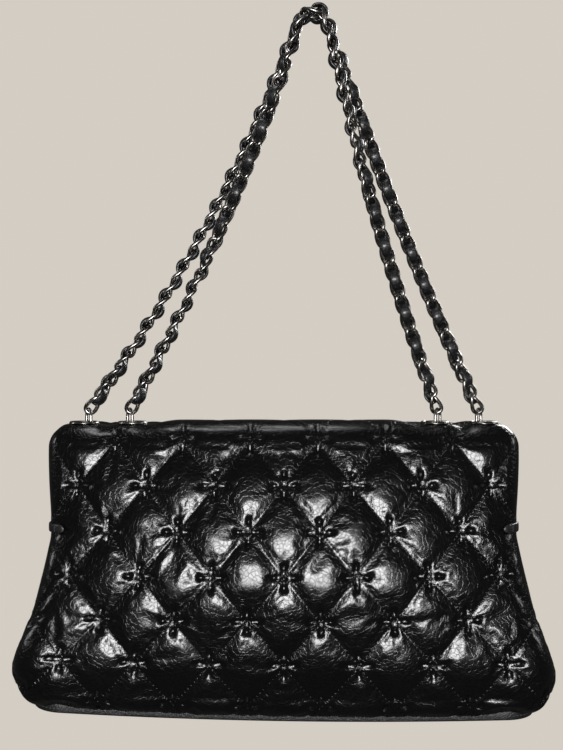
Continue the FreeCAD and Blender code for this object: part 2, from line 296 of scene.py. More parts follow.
def stitch_row(name: str, points: np.ndarray, length: float, radius: float, closed: bool) -> bpy.types.Object:
    """Row of short thread spindles: circles carried along each stitch, with a power of sine as their radius.

    Args:
        name: name of the piece.
        points: middle of every stitch.
        length: length of a stitch.
        radius: thread radius.
        closed: whether the row comes back to its start.

    Returns:
        The piece.
    """
    ahead = np.roll(points, -1, axis=0) - np.roll(points, 1, axis=0)
    if not closed:
        ahead[0] = points[1] - points[0]
        ahead[-1] = points[-1] - points[-2]
    along = unit(ahead)
    askew = (0.31, 0.22, 0.93)
    side = unit(np.cross(along, askew))
    up = np.cross(along, side)
    rings, sides = 6, 6
    station = np.linspace(0.04, math.pi - 0.04, rings)
    turn = np.linspace(0.0, 2 * math.pi, sides, endpoint=False)
    run = -np.cos(station)[None, :, None, None] * length / 2
    thick = (np.sin(station) ** 0.6 * radius)[None, :, None, None]
    circle = (np.cos(turn)[:, None] * side[:, None] + np.sin(turn)[:, None] * up[:, None])[:, None]
    grid = points[:, None, None] + along[:, None, None] * run + circle * thick
    quads = grid_quads(rings, sides, wrap_cols=True)
    return put_in(name, grid, repeated(quads, len(points), rings * sides))


# Shader boards

class Wire:
    """A shader socket on which arithmetic adds Math nodes."""

    def __init__(self, board: "Board", socket: bpy.types.NodeSocket) -> None:
        """Keeps the board and the socket."""
        self.board = board
        self.socket = socket

    def maths(self, operation: str, *others: "Wire | float") -> "Wire":
        """Math node with this socket as its first value."""
        values = dict(enumerate((self, *others)))
        return self.board.node("ShaderNodeMath", {"operation": operation}, values)

    def __add__(self, other: "Wire | float") -> "Wire":
        """Sum."""
        return self.maths("ADD", other)

    __radd__ = __add__

    def __sub__(self, other: "Wire | float") -> "Wire":
        """Difference."""
        return self.maths("SUBTRACT", other)

    def __rsub__(self, other: float) -> "Wire":
        """Difference from a number."""
        return self.board.node("ShaderNodeMath", {"operation": "SUBTRACT"}, {0: other, 1: self})

    def __mul__(self, other: "Wire | float") -> "Wire":
        """Product."""
        return self.maths("MULTIPLY", other)

    __rmul__ = __mul__

    def step(self, low: float, high: float) -> "Wire":
        """Smooth step.

        Args:
            low: value that gives 0.
            high: value that gives 1.

        Returns:
            The stepped value.
        """
        settings = {"interpolation_type": "SMOOTHSTEP"}
        sockets = {"Value": self, "From Min": low, "From Max": high}
        return self.board.node("ShaderNodeMapRange", settings, sockets)


class Board:
    """Node tree with its output node."""

    def __init__(self, tree: bpy.types.NodeTree, output: str) -> None:
        """Empties the tree and adds its output node.

        Args:
            tree: node tree of a material or of the world.
            output: type of the output node.
        """
        self.tree = tree
        self.tree.nodes.clear()
        self.output = self.tree.nodes.new(output)

    def node(self, kind: str, settings: dict, sockets: dict, out: str | int = 0) -> Wire:
        """Adds a node.

        Args:
            kind: node type.
            settings: properties, set first.
            sockets: values or wires by socket name or number.
            out: output to return.

        Returns:
            The chosen output.
        """
        made = self.tree.nodes.new(kind)
        for key, value in settings.items():
            setattr(made, key, value)
        for key, value in sockets.items():
            self.feed(made.inputs[key], value)
        return Wire(self, made.outputs[out])

    def feed(self, socket: bpy.types.NodeSocket, value: "Wire | float | tuple") -> None:
        """Links a wire to a socket, or sets the socket's own value.

        Args:
            socket: input of a node.
            value: wire, number or colour.
        """
        if isinstance(value, Wire):
            self.tree.links.new(value.socket, socket)
        else:
            socket.default_value = value

    def show(self, surface: Wire) -> None:
        """Links a shader to the output."""
        self.feed(self.output.inputs["Surface"], surface)


class FinishBoard(Board):
    """Material with one shader, and the patterns that finishes share."""

    def __init__(self, name: str) -> None:
        """Starts a material with its shader on the output.

        Args:
            name: name of the material.
        """
        self.material = bpy.data.materials.new(name)
        self.material.use_nodes = True
        super().__init__(self.material.node_tree, "ShaderNodeOutputMaterial")
        self.shader = self.node("ShaderNodeBsdfPrincipled", {}, {}, "BSDF")
        self.show(self.shader)

    def dress(self, **sockets: "Wire | float | tuple") -> bpy.types.Material:
        """Feeds the shader.

        Args:
            sockets: values or wires by socket name, in which an underscore stands for a space.

        Returns:
            The finished material.
        """
        inputs = self.shader.socket.node.inputs
        for key, value in sockets.items():
            self.feed(inputs[key.replace("_", " ")], value)
        return self.material

    def place(self) -> Wire:
        """Object coordinates, which are metres in the row frame."""
        return self.node("ShaderNodeTexCoord", {}, {}, "Object")

    def noise(self, where: Wire, scale: float, detail: float = 3.0, rough: float = 0.55) -> Wire:
        """Noise value at a scale in cycles a metre."""
        sockets = {"Vector": where, "Scale": scale, "Detail": detail, "Roughness": rough}
        return self.node("ShaderNodeTexNoise", {}, sockets)

    def warped(self, where: Wire, scale: float, amount: float) -> Wire:
        """Coordinates pushed about by noise.

        Args:
            where: coordinates in metres.
            scale: noise cycles a metre.
            amount: twice the largest push, in metres.

        Returns:
            The pushed coordinates.
        """
        sockets = {"Vector": where, "Scale": scale, "Detail": 2.0}
        push = self.node("ShaderNodeTexNoise", {}, sockets, "Color")
        settings = {"operation": "MULTIPLY_ADD"}
        return self.node("ShaderNodeVectorMath", settings, {0: push, 1: (amount,) * 3, 2: where})

    def cracks(self, where: Wire, scale: float) -> Wire:
        """Distance to the nearest crack between cells."""
        settings = {"feature": "DISTANCE_TO_EDGE"}
        return self.node("ShaderNodeTexVoronoi", settings, {"Vector": where, "Scale": scale})

    def tint(self, amount: Wire, low: tuple, high: tuple) -> Wire:
        """Colour between two colours."""
        sockets = {0: amount, 6: (*low, 1.0), 7: (*high, 1.0)}
        return self.node("ShaderNodeMix", {"data_type": "RGBA"}, sockets, 2)

    def relief(self, height: Wire, depth: float, strength: float = 1.0) -> Wire:
        """Bumped normal from a height of 0 to 1 that stands for a depth in metres."""
        sockets = {"Height": height, "Distance": depth, "Strength": strength}
        return self.node("ShaderNodeBump", {}, sockets)


@dataclass(frozen=True)
class GlazedLeather:
    """Black glazed leather with a crackled, very glossy face and stitched quilting lines."""

    name: str = "glazed_leather"
    dark: tuple = (0.0012, 0.0012, 0.0014)
    worn: tuple = (0.0045, 0.0045, 0.005)
    crack_scale: float = 380.0
    stitch_pitch: float = 0.085
    stitched: bool = True

    def build(self) -> bpy.types.Material:
        """Crackle from two sizes of warped cells, creases from noise, and stitches on the lattice.

        Returns:
            The material.
        """
        board = FinishBoard(self.name)
        where = board.place()
        drift = board.warped(where, 120.0, 0.006)
        coarse = board.cracks(drift, self.crack_scale).step(0.0, 0.10)
        fine = board.cracks(board.warped(where, 400.0, 0.002), self.crack_scale * 2.6).step(0.0, 0.22)
        creases = board.noise(drift, 700.0, 4.0, 0.6)
        swell = board.noise(where, 90.0, 2.0)
        height = 0.17 * coarse + 0.03 * fine + 0.02 * creases + 0.45 * swell
        if self.stitched:
            height = height - 0.8 * self.stitches(board)
        cracked = 1.0 - coarse * fine
        tone = board.noise(where, 45.0, 3.0)
        return board.dress(
            Base_Color=board.tint(cracked * tone, self.dark, self.worn),
            Roughness=0.15 + 0.08 * cracked + 0.04 * tone,
            Normal=board.relief(height, 0.00026, 0.9),
            Specular_IOR_Level=0.42, Coat_Weight=0.2, Coat_Roughness=0.09, Coat_IOR=1.5,
        )

    def stitches(self, board: FinishBoard) -> Wire:
        """Small pits in a row along every line of the quilting lattice.

        Args:
            board: the finish's board.

        Returns:
            1 in a pit, 0 away from it.
        """
        lattice = board.node("ShaderNodeUVMap", {"uv_map": "lattice"}, {}, "UV")
        first = board.node("ShaderNodeSeparateXYZ", {}, {0: lattice}, "X")
        second = Wire(board, first.socket.node.outputs["Y"])
        rows = []
        for line, run in ((first, second), (second, first)):
            off = line.maths("PINGPONG", 0.5)
            beat = run.maths("PINGPONG", self.stitch_pitch / 2)
            rows.append((1.0 - off.step(0.012, 0.03)) * (1.0 - beat.step(0.008, 0.022)))
        return rows[0].maths("MAXIMUM", rows[1])


@dataclass(frozen=True)
class PlainLeather:
    """Smooth black leather for straps, bindings, the lace and facings."""

    name: str
    dark: tuple = (0.004, 0.004, 0.0045)
    worn: tuple = (0.020, 0.020, 0.020)
    gloss: float = 0.38
    grain: float = 900.0
    coat: float = 0.25

    def build(self) -> bpy.types.Material:
        """Fine pebble grain with slow changes of tone and gloss.

        Returns:
            The material.
        """
        board = FinishBoard(self.name)
        where = board.place()
        pebble = board.cracks(board.warped(where, 300.0, 0.002), self.grain).step(0.0, 0.3)
        rub = board.noise(where, 160.0, 4.0)
        height = 0.6 * pebble + 0.5 * board.noise(where, 500.0)
        return board.dress(
            Base_Color=board.tint(rub * rub * 0.8, self.dark, self.worn),
            Roughness=self.gloss + 0.16 * rub - 0.06 * pebble,
            Normal=board.relief(height, 0.00016, 0.8),
            Coat_Weight=self.coat, Coat_Roughness=0.2,
        )


@dataclass(frozen=True)
class Gunmetal:
    """Dark polished plating with rubbed and dulled spots."""

    name: str = "gunmetal"
    dark: tuple = (0.15, 0.143, 0.136)
    bright: tuple = (0.42, 0.40, 0.38)

    def build(self) -> bpy.types.Material:
        """Slow changes of tone, fine scratches and a little tarnish.

        Returns:
            The material.
        """
        board = FinishBoard(self.name)
        where = board.place()
        cloud = board.noise(where, 220.0, 4.0)
        scratch = board.noise(board.warped(where, 60.0, 0.01), 2600.0, 2.0)
        return board.dress(
            Base_Color=board.tint(cloud.step(0.25, 0.75), self.dark, self.bright),
            Roughness=0.16 + 0.16 * cloud + 0.05 * scratch,
            Normal=board.relief(scratch, 0.00002, 0.5),
            Metallic=1.0,
        )


@dataclass(frozen=True)
class Woven:
    """Dark woven lining."""

    name: str
    dark: tuple = (0.018, 0.018, 0.021)
    light: tuple = (0.060, 0.060, 0.067)
    threads: float = 2400.0
    sheen: float = 0.25

    def build(self) -> bpy.types.Material:
        """Two sets of ribs across each other, each a wave along one axis.

        Returns:
            The material.
        """
        board = FinishBoard(self.name)
        where = board.place()
        warp = self.ribs(board, where, "X")
        weft = self.ribs(board, where, "Z")
        weave = warp.maths("MAXIMUM", weft)
        slub = board.noise(where, 260.0, 3.0)
        return board.dress(
            Base_Color=board.tint(0.6 * weave + 0.4 * slub, self.dark, self.light),
            Roughness=0.62 + 0.2 * slub,
            Normal=board.relief(weave + 0.3 * slub, 0.00012, 0.8),
            Sheen_Weight=self.sheen, Sheen_Roughness=0.4,
        )

    def ribs(self, board: FinishBoard, where: Wire, axis: str) -> Wire:
        """Rounded ribs square to one axis.

        Args:
            board: the finish's board.
            where: coordinates in metres.
            axis: name of the axis.

        Returns:
            Height of the ribs from 0 to 1.
        """
        settings = {"wave_type": "BANDS", "bands_direction": axis}
        sockets = {"Vector": where, "Scale": self.threads / 6.283 * 1.2, "Distortion": 0.6, "Detail": 1.0}
        return board.node("ShaderNodeTexWave", settings, sockets, "Fac")


@dataclass(frozen=True)
class Thread:
    """Waxed black sewing thread."""

    name: str = "sewing_thread"
    dark: tuple = (0.012, 0.012, 0.013)
    light: tuple = (0.075, 0.075, 0.080)

    def build(self) -> bpy.types.Material:
        """Twist as fine noise.

        Returns:
            The material.
        """
        board = FinishBoard(self.name)
        twist = board.noise(board.place(), 2200.0, 2.0)
        return board.dress(
            Base_Color=board.tint(twist, self.dark, self.light),
            Roughness=0.32 + 0.2 * twist,
            Normal=board.relief(twist, 0.0001, 0.6),
        )


class Dresser:
    """Keeps one material a slot and finishes pieces with them."""

    def __init__(self) -> None:
        """Builds every finish."""
        self.finishes = {
            Slot.GLAZED: GlazedLeather().build(),
            Slot.EDGE: PlainLeather("edge_leather").build(),
            Slot.LACE: PlainLeather("lace_leather", gloss=0.30, grain=1300.0, coat=0.45).build(),
            Slot.METAL: Gunmetal().build(),
            Slot.LINING: Woven("lining_cloth").build(),
            Slot.WADDING: Woven("wadding", (0.4, 0.39, 0.37), (0.6, 0.59, 0.57), 500.0).build(),
            Slot.BOARD: Woven("board", (0.22, 0.18, 0.13), (0.36, 0.30, 0.23), 700.0, 0.0).build(),
        }
        self.thread = Thread().build()
        self.smooth_glaze = GlazedLeather("glazed_leather_plain", stitched=False).build()

    def finish(self, piece: bpy.types.Object, slot: Slot, body: Body, *nodes: str,
               material: bpy.types.Material | None = None) -> None:
        """Gives a piece its material, body and the nodes that it stands for.

        Args:
            piece: the new piece.
            slot: the record's slot of its finish.
            body: the body that it rides on.
            nodes: CAD nodes that it replaces.
            material: a finish of its own in place of the slot's.
        """
        piece.data.materials.append(material or self.finishes[slot])
        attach(piece, body.value)
        if nodes:
            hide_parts(*nodes)
        log.info("%s: %d faces on %s", piece.name, len(piece.data.polygons), body.value)

    def dress_frame(self) -> None:
        """Gives every CAD node that still shows the finish of its slot."""
        slots = {part["node"]: part["material_slot"] for part in frame["record"]["subparts"]}
        for node, piece in frame["nodes"].items():
            piece.data.materials.clear()
            piece.data.materials.append(self.finishes[Slot(slots[node])])


@dataclass
class Piece:
    """A sub-assembly that makes and dresses its own meshes."""

    dresser: Dresser


@dataclass(frozen=True)
class ClothSwell:
    """Cloth simulation that swells a quilted sheet between its stitched lines."""

    pressure: float = 5.0
    mass: float = 0.02
    spare: float = 0.010
    stiffness: float = 12.0
    bending: float = 2.0
    frames: int = 12
    cap: float = 2.6

    def apply(self, piece: bpy.types.Object) -> None:
        """Simulates a sheet that has the vertex group "sewn", and keeps the capped moves in its mesh.

        Args:
            piece: the sheet, before it gets its thickness.
        """
        cloth = piece.modifiers.new("swell", "CLOTH")
        settings = {
            "quality": 5, "mass": self.mass, "vertex_group_mass": "sewn", "shrink_min": -self.spare,
            "tension_stiffness": self.stiffness, "compression_stiffness": self.stiffness,
            "shear_stiffness": self.stiffness / 2, "bending_stiffness": self.bending,
            "use_pressure": True, "uniform_pressure_force": self.pressure,
        }
        for key, value in settings.items():
            setattr(cloth.settings, key, value)
        cloth.settings.effector_weights.gravity = 0.0
        cloth.collision_settings.use_collision = False
        cloth.collision_settings.use_self_collision = False
        scene = bpy.context.scene
        for frame_number in range(1, self.frames + 1):
            scene.frame_set(frame_number)
        swollen = piece.evaluated_get(bpy.context.evaluated_depsgraph_get())
        rest = np.empty(3 * len(piece.data.vertices), dtype=np.float32)
        moved = np.empty_like(rest)
        piece.data.vertices.foreach_get("co", rest)
        swollen.data.vertices.foreach_get("co", moved)
        shift = (moved - rest).reshape(-1, 3) / MM
        size = np.linalg.norm(shift, axis=1, keepdims=True)
        log.info("%s swells by %.2f mm on average, %.2f mm at most", piece.name, size.mean(), size.max())
        capped = shift * (self.cap * np.tanh(size / self.cap) / np.maximum(size, 1e-6))
        kept = rest.reshape(-1, 3) + capped * MM
        piece.data.vertices.foreach_set("co", kept.astype(np.float32).ravel())
        piece.modifiers.remove(cloth)
        piece.data.update()
        scene.frame_set(1)


def thicken(piece: bpy.types.Object, thick: float) -> None:
    """Gives a sheet a thickness on its inner side, with closed edges.

    Args:
        piece: the sheet.
        thick: thickness in millimetres.
    """
    wall = piece.modifiers.new("wall", "SOLIDIFY")
    wall.thickness = thick * MM
    wall.offset = -1.0
    wall.use_rim = True


# Form of the pouch and pattern of the quilting

@dataclass(frozen=True)
class PouchForm:
    """Outer form of the pouch in the bag's own frame: millimetres, z = 0 on the ridge."""

    width_drops: tuple = (0.0, 10.0, 31.0, 52.0, 59.0, 68.0, 85.0,
                          103.0, 119.0, 135.0, 143.0, 152.0, 158.0, 165.0)
    halves: tuple = (135.0, 135.6, 135.3, 133.9, 133.4, 135.0, 138.4,
                     142.5, 148.0, 152.0, 153.4, 152.8, 150.0, 146.0)
    drops: tuple = (10.0, 58.0, 101.06, 141.81, 163.0)
    backs: tuple = (17.94, 20.93, 30.27, 37.84, 31.84)
    fronts: tuple = (28.06, 31.06, 38.53, 48.16, 42.16)
    corners: tuple = (10.0, 12.0, 16.0, 22.0, 22.0)
    stitch_inset: float = 2.5
    bulge_drops: tuple = (0.0, 12.0, 35.0, 70.0, 90.0, 130.0, 145.0, 165.0)
    bulges: tuple = (0.0, 3.0, 11.0, 15.5, 13.0, -0.5, -4.5, -4.0)
    bulge_half: float = 140.0
    sag_drops: tuple = (80.0, 160.0)
    sag: float = 4.5
    tilt: float = 2.3

    def half(self, z: np.ndarray) -> np.ndarray:
        """Half of the width at a height."""
        return spline(self.width_drops, self.halves, -z)

    def back(self, z: np.ndarray) -> np.ndarray:
        """Distance of the back face behind the ridge's middle."""
        return spline(self.drops, self.backs, -z)

    def front(self, z: np.ndarray) -> np.ndarray:
        """Distance of the front face before the ridge's middle."""
        return spline(self.drops, self.fronts, -z)

    def corner(self, z: np.ndarray) -> np.ndarray:
        """Radius of the upright corners."""
        return spline(self.drops, self.corners, -z)

    def settle(self, points: np.ndarray) -> np.ndarray:
        """Soft form of the full bag, put in its place below the hang point.

        The ends of the base rise with the square of x, the left one a little more. The back stands out like
        a barrel by the bulge at each height, which fades to nothing at the sides.

        Args:
            points: points in the bag's frame.

        Returns:
            The settled points in the row frame.
        """
        settled = points + EYELET_ROW
        x = points[..., 0] / self.bulge_half
        low = ease(*self.sag_drops, -points[..., 2])
        settled[..., 2] += low * (self.sag * x * x - self.tilt * x)
        bulge = spline(self.bulge_drops, self.bulges, -points[..., 2]) * np.clip(1.0 - x * x, 0.0, 1.0)
        settled[..., 1] -= bulge * ease(4.0, 16.0, -points[..., 1])
        return settled

    def outline(self, z: float, inset: float, count: int) -> np.ndarray:
        """Closed rounded rectangle round the pouch at a height, counter-clockwise from the back's middle.

        Args:
            z: height.
            inset: distance inside the outer face.
            count: number of points.

        Returns:
            Points by three in the bag's frame.
        """
        level = np.array(z, dtype=float)
        corner = max(float(self.corner(level)) - inset, 1.0)
        half = float(self.half(level)) - inset - corner
        back = float(self.back(level)) - inset - corner
        front = float(self.front(level)) - inset - corner
        turns = []
        centres = ((half, -back, -90), (half, front, 0), (-half, front, 90), (-half, -back, 180))
        for cx, cy, start in centres:
            angle = np.radians(np.linspace(start, start + 90, 16))
            turns.append(np.stack([cx + corner * np.cos(angle), cy + corner * np.sin(angle)], axis=1))
        first = np.array([[0.0, -back - corner]])
        ring = even_points(np.concatenate([first, *turns, first]), count + 1)[:-1]
        return np.concatenate([ring, np.full((count, 1), z)], axis=1)


@dataclass(frozen=True)
class Quilt:
    """Diamond quilting with a gathered tuft at every crossing of the stitched lines."""

    row: float = 24.9
    top_column: float = 38.0
    low_column: float = 41.2
    flare_rows: float = 4.2
    puff: float = 2.7
    fullness: float = 0.22
    fills: tuple = (0.84, 1.08)
    dimple: float = 2.7
    fold_reach: float = 5.4
    fold_width: float = 2.7
    fold_spread: float = 0.30
    gather: float = 0.40
    ruffles: int = 14
    ruffle_reach: float = 5.5
    ruffle_width: float = 3.2
    pit: float = 0.8
    pit_width: float = 2.5
    seed: int = 11

    def lattice(self, u: np.ndarray, rows: np.ndarray) -> tuple[np.ndarray, np.ndarray, np.ndarray]:
        """Coordinates that are whole numbers on the two sets of stitched lines.

        Args:
            u: distance across, from the middle.
            rows: rows of tufts down from the row that has a tuft in the middle.

        Returns:
            First and second coordinate, and the column pitch there.
        """
        share = np.clip((rows + 1.0) / (self.flare_rows + 1.0), 0.0, 1.0)
        pitch = self.top_column + (self.low_column - self.top_column) * share
        across = u / pitch
        return across + rows / 2, across - rows / 2, pitch

    def sewn(self, a: np.ndarray, b: np.ndarray) -> np.ndarray:
        """How firmly the lattice holds the sheet: 1 on the stitched lines, 0 from 2 mm away from them."""
        off = np.minimum(np.abs(a - np.round(a)), np.abs(b - np.round(b)))
        return 1.0 - ease(0.03, 0.075, off)

    def height(self, u: np.ndarray, rows: np.ndarray) -> np.ndarray:
        """Height over the stitched lines: a power of |sin a| * |sin b|, gathered round the tufts.

        Each tuft has four folds that run into the corners of its diamonds, a ring of small ruffles and a pit,
        all bells over the distance from the tuft.

        Args:
            u: distance across.
            rows: rows of tufts down.

        Returns:
            Height in millimetres, about 0 on the lines and up to the puff in the diamonds.
        """
        a, b, pitch = self.lattice(u, rows)
        swell = np.abs(np.sin(math.pi * a) * np.sin(math.pi * b))
        table = np.random.default_rng(self.seed).uniform(*self.fills, (64, 64))
        fill = table[np.floor(a).astype(int) % 64, np.floor(b).astype(int) % 64]
        height = self.puff * fill * swell ** self.fullness
        da = a - np.round(a)
        db = b - np.round(b)
        dx = pitch * (da + db) / 2
        dt = self.row * (da - db)
        reach = np.hypot(dx, dt)
        angle = np.arctan2(dt, dx)
        fold = np.exp(-((reach - self.fold_reach) / self.fold_width) ** 2)
        fold = fold * np.exp(-(1 - np.cos(4 * angle)) / self.fold_spread)
        ruffle = np.cos(self.ruffles * angle + 3.0 * np.round(a))
        ruffle = ruffle * np.exp(-((reach - self.ruffle_reach) / self.ruffle_width) ** 2)
        pit = np.exp(-(reach / self.pit_width) ** 2)
        return height - self.dimple * fold + self.gather * ruffle - self.pit * pit


def folded_skin(form: PouchForm, profile: np.ndarray, out: np.ndarray, columns: int,
                seam: float) -> dict[str, np.ndarray]:
    """Developed sheet that follows a profile in y and z and bends round the bag's two sides.

    At each profile point the sheet runs straight along x, then turns a quarter circle of the corner radius
    towards the inside (against the outward normal), then runs on to the side seam.

    Args:
        form: the pouch.
        profile: points by two (y, z) down the sheet.
        out: outward unit normal at each point, (y, z).
        columns: points across.
        seam: y of the side seam.

    Returns:
        Points "at", unit normals "out", developed distance "u" across and distance "edge" from the side edge,
        all as rows by columns.
    """
    y, z = profile[:, :1], profile[:, 1:]
    corner = (form.corner(z) - form.stitch_inset * 0.4) * (1.0 - 0.5 * ease(0.1, 0.8, -out[:, 1:]))
    straight = form.half(np.minimum(z, -1.0)) - 0.6 - corner
    reach = np.maximum(np.abs(seam - y) * np.abs(out[:, :1]) - corner, 0.4)
    whole = straight + corner * math.pi / 2 + reach
    u = np.linspace(-1.0, 1.0, columns)[None] * whole
    far = np.abs(u)
    turn = np.clip((far - straight) / corner, 0.0, math.pi / 2)
    x = np.sign(u) * (np.minimum(far, straight) + corner * np.sin(turn))
    inward = corner * (1 - np.cos(turn)) + np.maximum(far - straight - corner * math.pi / 2, 0.0)
    at = np.stack([x, y - out[:, :1] * inward, z - out[:, 1:] * inward], axis=-1)
    level = np.cos(turn)
    normal = np.stack([np.sign(u) * np.sin(turn), out[:, :1] * level, out[:, 1:] * level], axis=-1)
    return {"at": at, "out": normal, "u": u, "edge": whole - far}


@dataclass
class QuiltedPanel(Piece):
    """Quilted sheet down one face of the pouch, rolled under at the rim and bent round the sides."""

    form: PouchForm
    quilt: Quilt
    swell: ClothSwell
    spacing: float = 1.25
    side_seam: float = -8.0
    inward: float = 1.0
    top_fade: float = 9.0
    roll_start: float = -151.5
    roll_radius: float = 12.0
    roll_turn: tuple = (4.0, 84.0)
    half_sheet: float = 160.0
    edge_fade: tuple = (0.5, 26.0)
    rim_fade: float = 16.0
    under_fade: tuple = (0.2, 0.9)
    corner_fade: tuple = (104.0, 130.0)
    seam_hold: tuple = (4.0, 16.0)

    def rolled(self, wall: np.ndarray) -> np.ndarray:
        """Adds the lower rim to a line, an arc that starts where the wall ends, and spaces the points evenly.

        Args:
            wall: points by two (y, z) down the face.

        Returns:
            Points by two (y, z) with the rim.
        """
        under = np.radians(np.linspace(*self.roll_turn, 20))
        roll = np.stack([wall[-1, 0] + self.inward * self.roll_radius * (1 - np.cos(under)),
                         self.roll_start - self.roll_radius * np.sin(under)], axis=1)
        return spaced(np.concatenate([wall, roll]), self.spacing)

    def laid(self, line: np.ndarray, first: int) -> dict[str, np.ndarray]:
        """Lays the sheet on a line.

        Args:
            line: evenly spaced points by two (y, z).
            first: number of the point on the row that has a tuft in the middle.

        Returns:
            What folded_skin gives, and with it the "run" down the line, the "rows" of tufts, and how far the
            sheet faces down as "under".
        """
        tangent = unit(np.gradient(line, axis=0))
        out = self.inward * np.stack([tangent[:, 1], -tangent[:, 0]], axis=1)
        columns = int(2 * self.half_sheet / self.spacing)
        skin = folded_skin(self.form, line, out, columns, self.side_seam)
        step = np.linalg.norm(line[1] - line[0])
        index = np.arange(len(line))[:, None]
        skin["run"] = index * step
        skin["rows"] = (index - first) * step / self.quilt.row + np.zeros_like(skin["u"])
        skin["under"] = -out[:, 1:]
        return skin

    def puffs(self, skin: dict[str, np.ndarray], full: "float | np.ndarray") -> np.ndarray:
        """Height of the quilting, less at the top edge, the side seams, the rim and the lower corners.

        Args:
            skin: the laid sheet.
            full: share of the height that the stuffing gives.

        Returns:
            Height of every point over the sheet.
        """
        run = skin["run"]
        height = self.quilt.height(skin["u"], skin["rows"]) * full
        height *= ease(-1.0, self.top_fade, run) * ease(*self.edge_fade, skin["edge"])
        height *= 1.0 - 0.6 * ease(run[-1] - self.rim_fade, run[-1], run)
        height *= 1.0 - ease(*self.under_fade, skin["under"]) * ease(*self.corner_fade, np.abs(skin["u"]))
        return height

    def sew(self, name: str, skin: dict[str, np.ndarray], height: np.ndarray, firm: np.ndarray,
            **options: "bool | np.ndarray") -> bpy.types.Object:
        """Makes the puffed sheet, lets it swell between its stitches and gives it its thickness.

        Args:
            name: name of the piece.
            skin: the laid sheet.
            height: height of every point over the sheet.
            firm: how firmly every point is held, besides the stitches and seams.
            options: what else sheet takes.

        Returns:
            The piece.
        """
        points = self.form.settle(skin["at"] + skin["out"] * height[..., None])
        a, b, _ = self.quilt.lattice(skin["u"], skin["rows"])
        held = np.maximum(self.quilt.sewn(a, b), 1.0 - ease(*self.seam_hold, skin["edge"]))
        held = np.maximum(held, firm)
        held[-3:] = 1.0
        piece = sheet(name, points, uv=np.stack([a, b], axis=-1), held=held, **options)
        self.swell.apply(piece)
        thicken(piece, SKIN_THICK)
        return piece


@dataclass
class QuiltedBack(QuiltedPanel):
    """Quilted back that runs up, over the ridge and forward to the flap's hinge."""

    level: float = -2.0
    hinge: float = 12.7
    edge_radius: float = 10.0
    ridge_edge: float = -8.0
    first_tuft: float = -33.6
    ridge_run: tuple = (20.0, 40.0)
    ridge_rise: float = 3.8
    crown_half: tuple = (60.0, 90.0)
    rim_reach: tuple = (9.0, 17.0)
    rim_seat: float = 1.95
    bore: float = 6.6
    bore_floor: float = -8.0
    strap_inner: float = 122.0
    strap_seat: float = 0.6

    def profile(self) -> np.ndarray:
        """Line from the hinge along the ridge, round the top edge, down the back and under the rolled rim.

        Returns:
            Evenly spaced points by two (y, z).
        """
        inset = self.form.stitch_inset
        top_y = inset - float(self.form.back(np.array(-10.0)))
        turn = np.linspace(0.0, math.pi / 2, 24)
        centre = (top_y + self.edge_radius, self.level - self.edge_radius)
        edge = np.stack([centre[0] - self.edge_radius * np.sin(turn),
                         centre[1] + self.edge_radius * np.cos(turn)], axis=1)
        z = np.linspace(centre[1] - 1.0, self.roll_start, 80)
        wall = np.stack([inset - self.form.back(z), z], axis=1)
        return self.rolled(np.concatenate([[(self.hinge, self.level)], edge, wall]))

    def build(self) -> None:
        """Puffs the sheet along its normals, and flattens it at eyelets, side straps, seams and hinge."""
        line = self.profile()
        on_ridge = line[:, 0] > self.ridge_edge
        skin = self.laid(line, np.argmin(np.abs(line[:, 1] - self.first_tuft) + 1000.0 * on_ridge))
        at, run = skin["at"], skin["run"]
        height = self.puffs(skin, 1.0)
        ridge = 1.0 - ease(*self.ridge_run, run)
        crown = ease(0.0, 6.0, run) * (1.0 - ease(*self.crown_half, np.abs(at[..., 0])))
        height = height * (1.0 - 0.82 * ridge) + ridge * self.ridge_rise * crown
        bores = np.ones(at.shape[:2], dtype=bool)
        for x, _ in EYELETS:
            away = np.hypot(at[..., 0] - x, at[..., 1])
            rim = ridge * (1.0 - ease(*self.rim_reach, away))
            height = height * (1 - rim) + self.rim_seat * rim
            bores &= (away > self.bore) | (at[..., 2] < self.bore_floor)
        cinch = ease(self.strap_inner - 8.0, self.strap_inner + 2.0, np.abs(at[..., 0]))
        cinch = cinch * np.exp(-((at[..., 2] - STRAP_Z) / 5.0) ** 2)
        height = height * (1 - cinch) + self.strap_seat * cinch
        piece = self.sew("quilt_back", skin, height, np.maximum(ridge, cinch), flip=True, keep=bores)
        self.dresser.finish(piece, Slot.GLAZED, Body.BAG, "back_panel", "back_wadding")


@dataclass
class QuiltedFront(QuiltedPanel):
    """Quilted front below the mouth, low under the flap and fuller below it."""

    spacing: float = 1.5
    side_seam: float = 16.0
    inward: float = -1.0
    top_fade: float = 8.0
    mouth: float = -30.5
    flap_edge: float = -112.0
    snap: tuple = (0.0, -86.4)
    snap_flat: tuple = (9.0, 18.0)

    def profile(self) -> np.ndarray:
        """Line from the mouth down the front and under the rolled rim, as evenly spaced (y, z)."""
        z = np.linspace(self.mouth, self.roll_start, 80)
        return self.rolled(np.stack([self.form.front(z) - self.form.stitch_inset, z], axis=1))

    def build(self) -> None:
        """Puffs the sheet along its normals, less under the flap and not at all round the snap."""
        skin = self.laid(self.profile(), 0)
        at = skin["at"]
        full = 0.5 + 0.42 * ease(-self.flap_edge - 4.0, -self.flap_edge + 10.0, -at[..., 2])
        height = self.puffs(skin, full)
        near = np.hypot(at[..., 0] - self.snap[0], at[..., 2] - self.snap[1])
        height *= ease(*self.snap_flat, near)
        firm = 1.0 - ease(self.flap_edge, self.flap_edge - 12.0, at[..., 2])
        piece = self.sew("quilt_front", skin, height, firm)
        self.dresser.finish(piece, Slot.GLAZED, Body.BAG, "front_panel", "front_wadding")


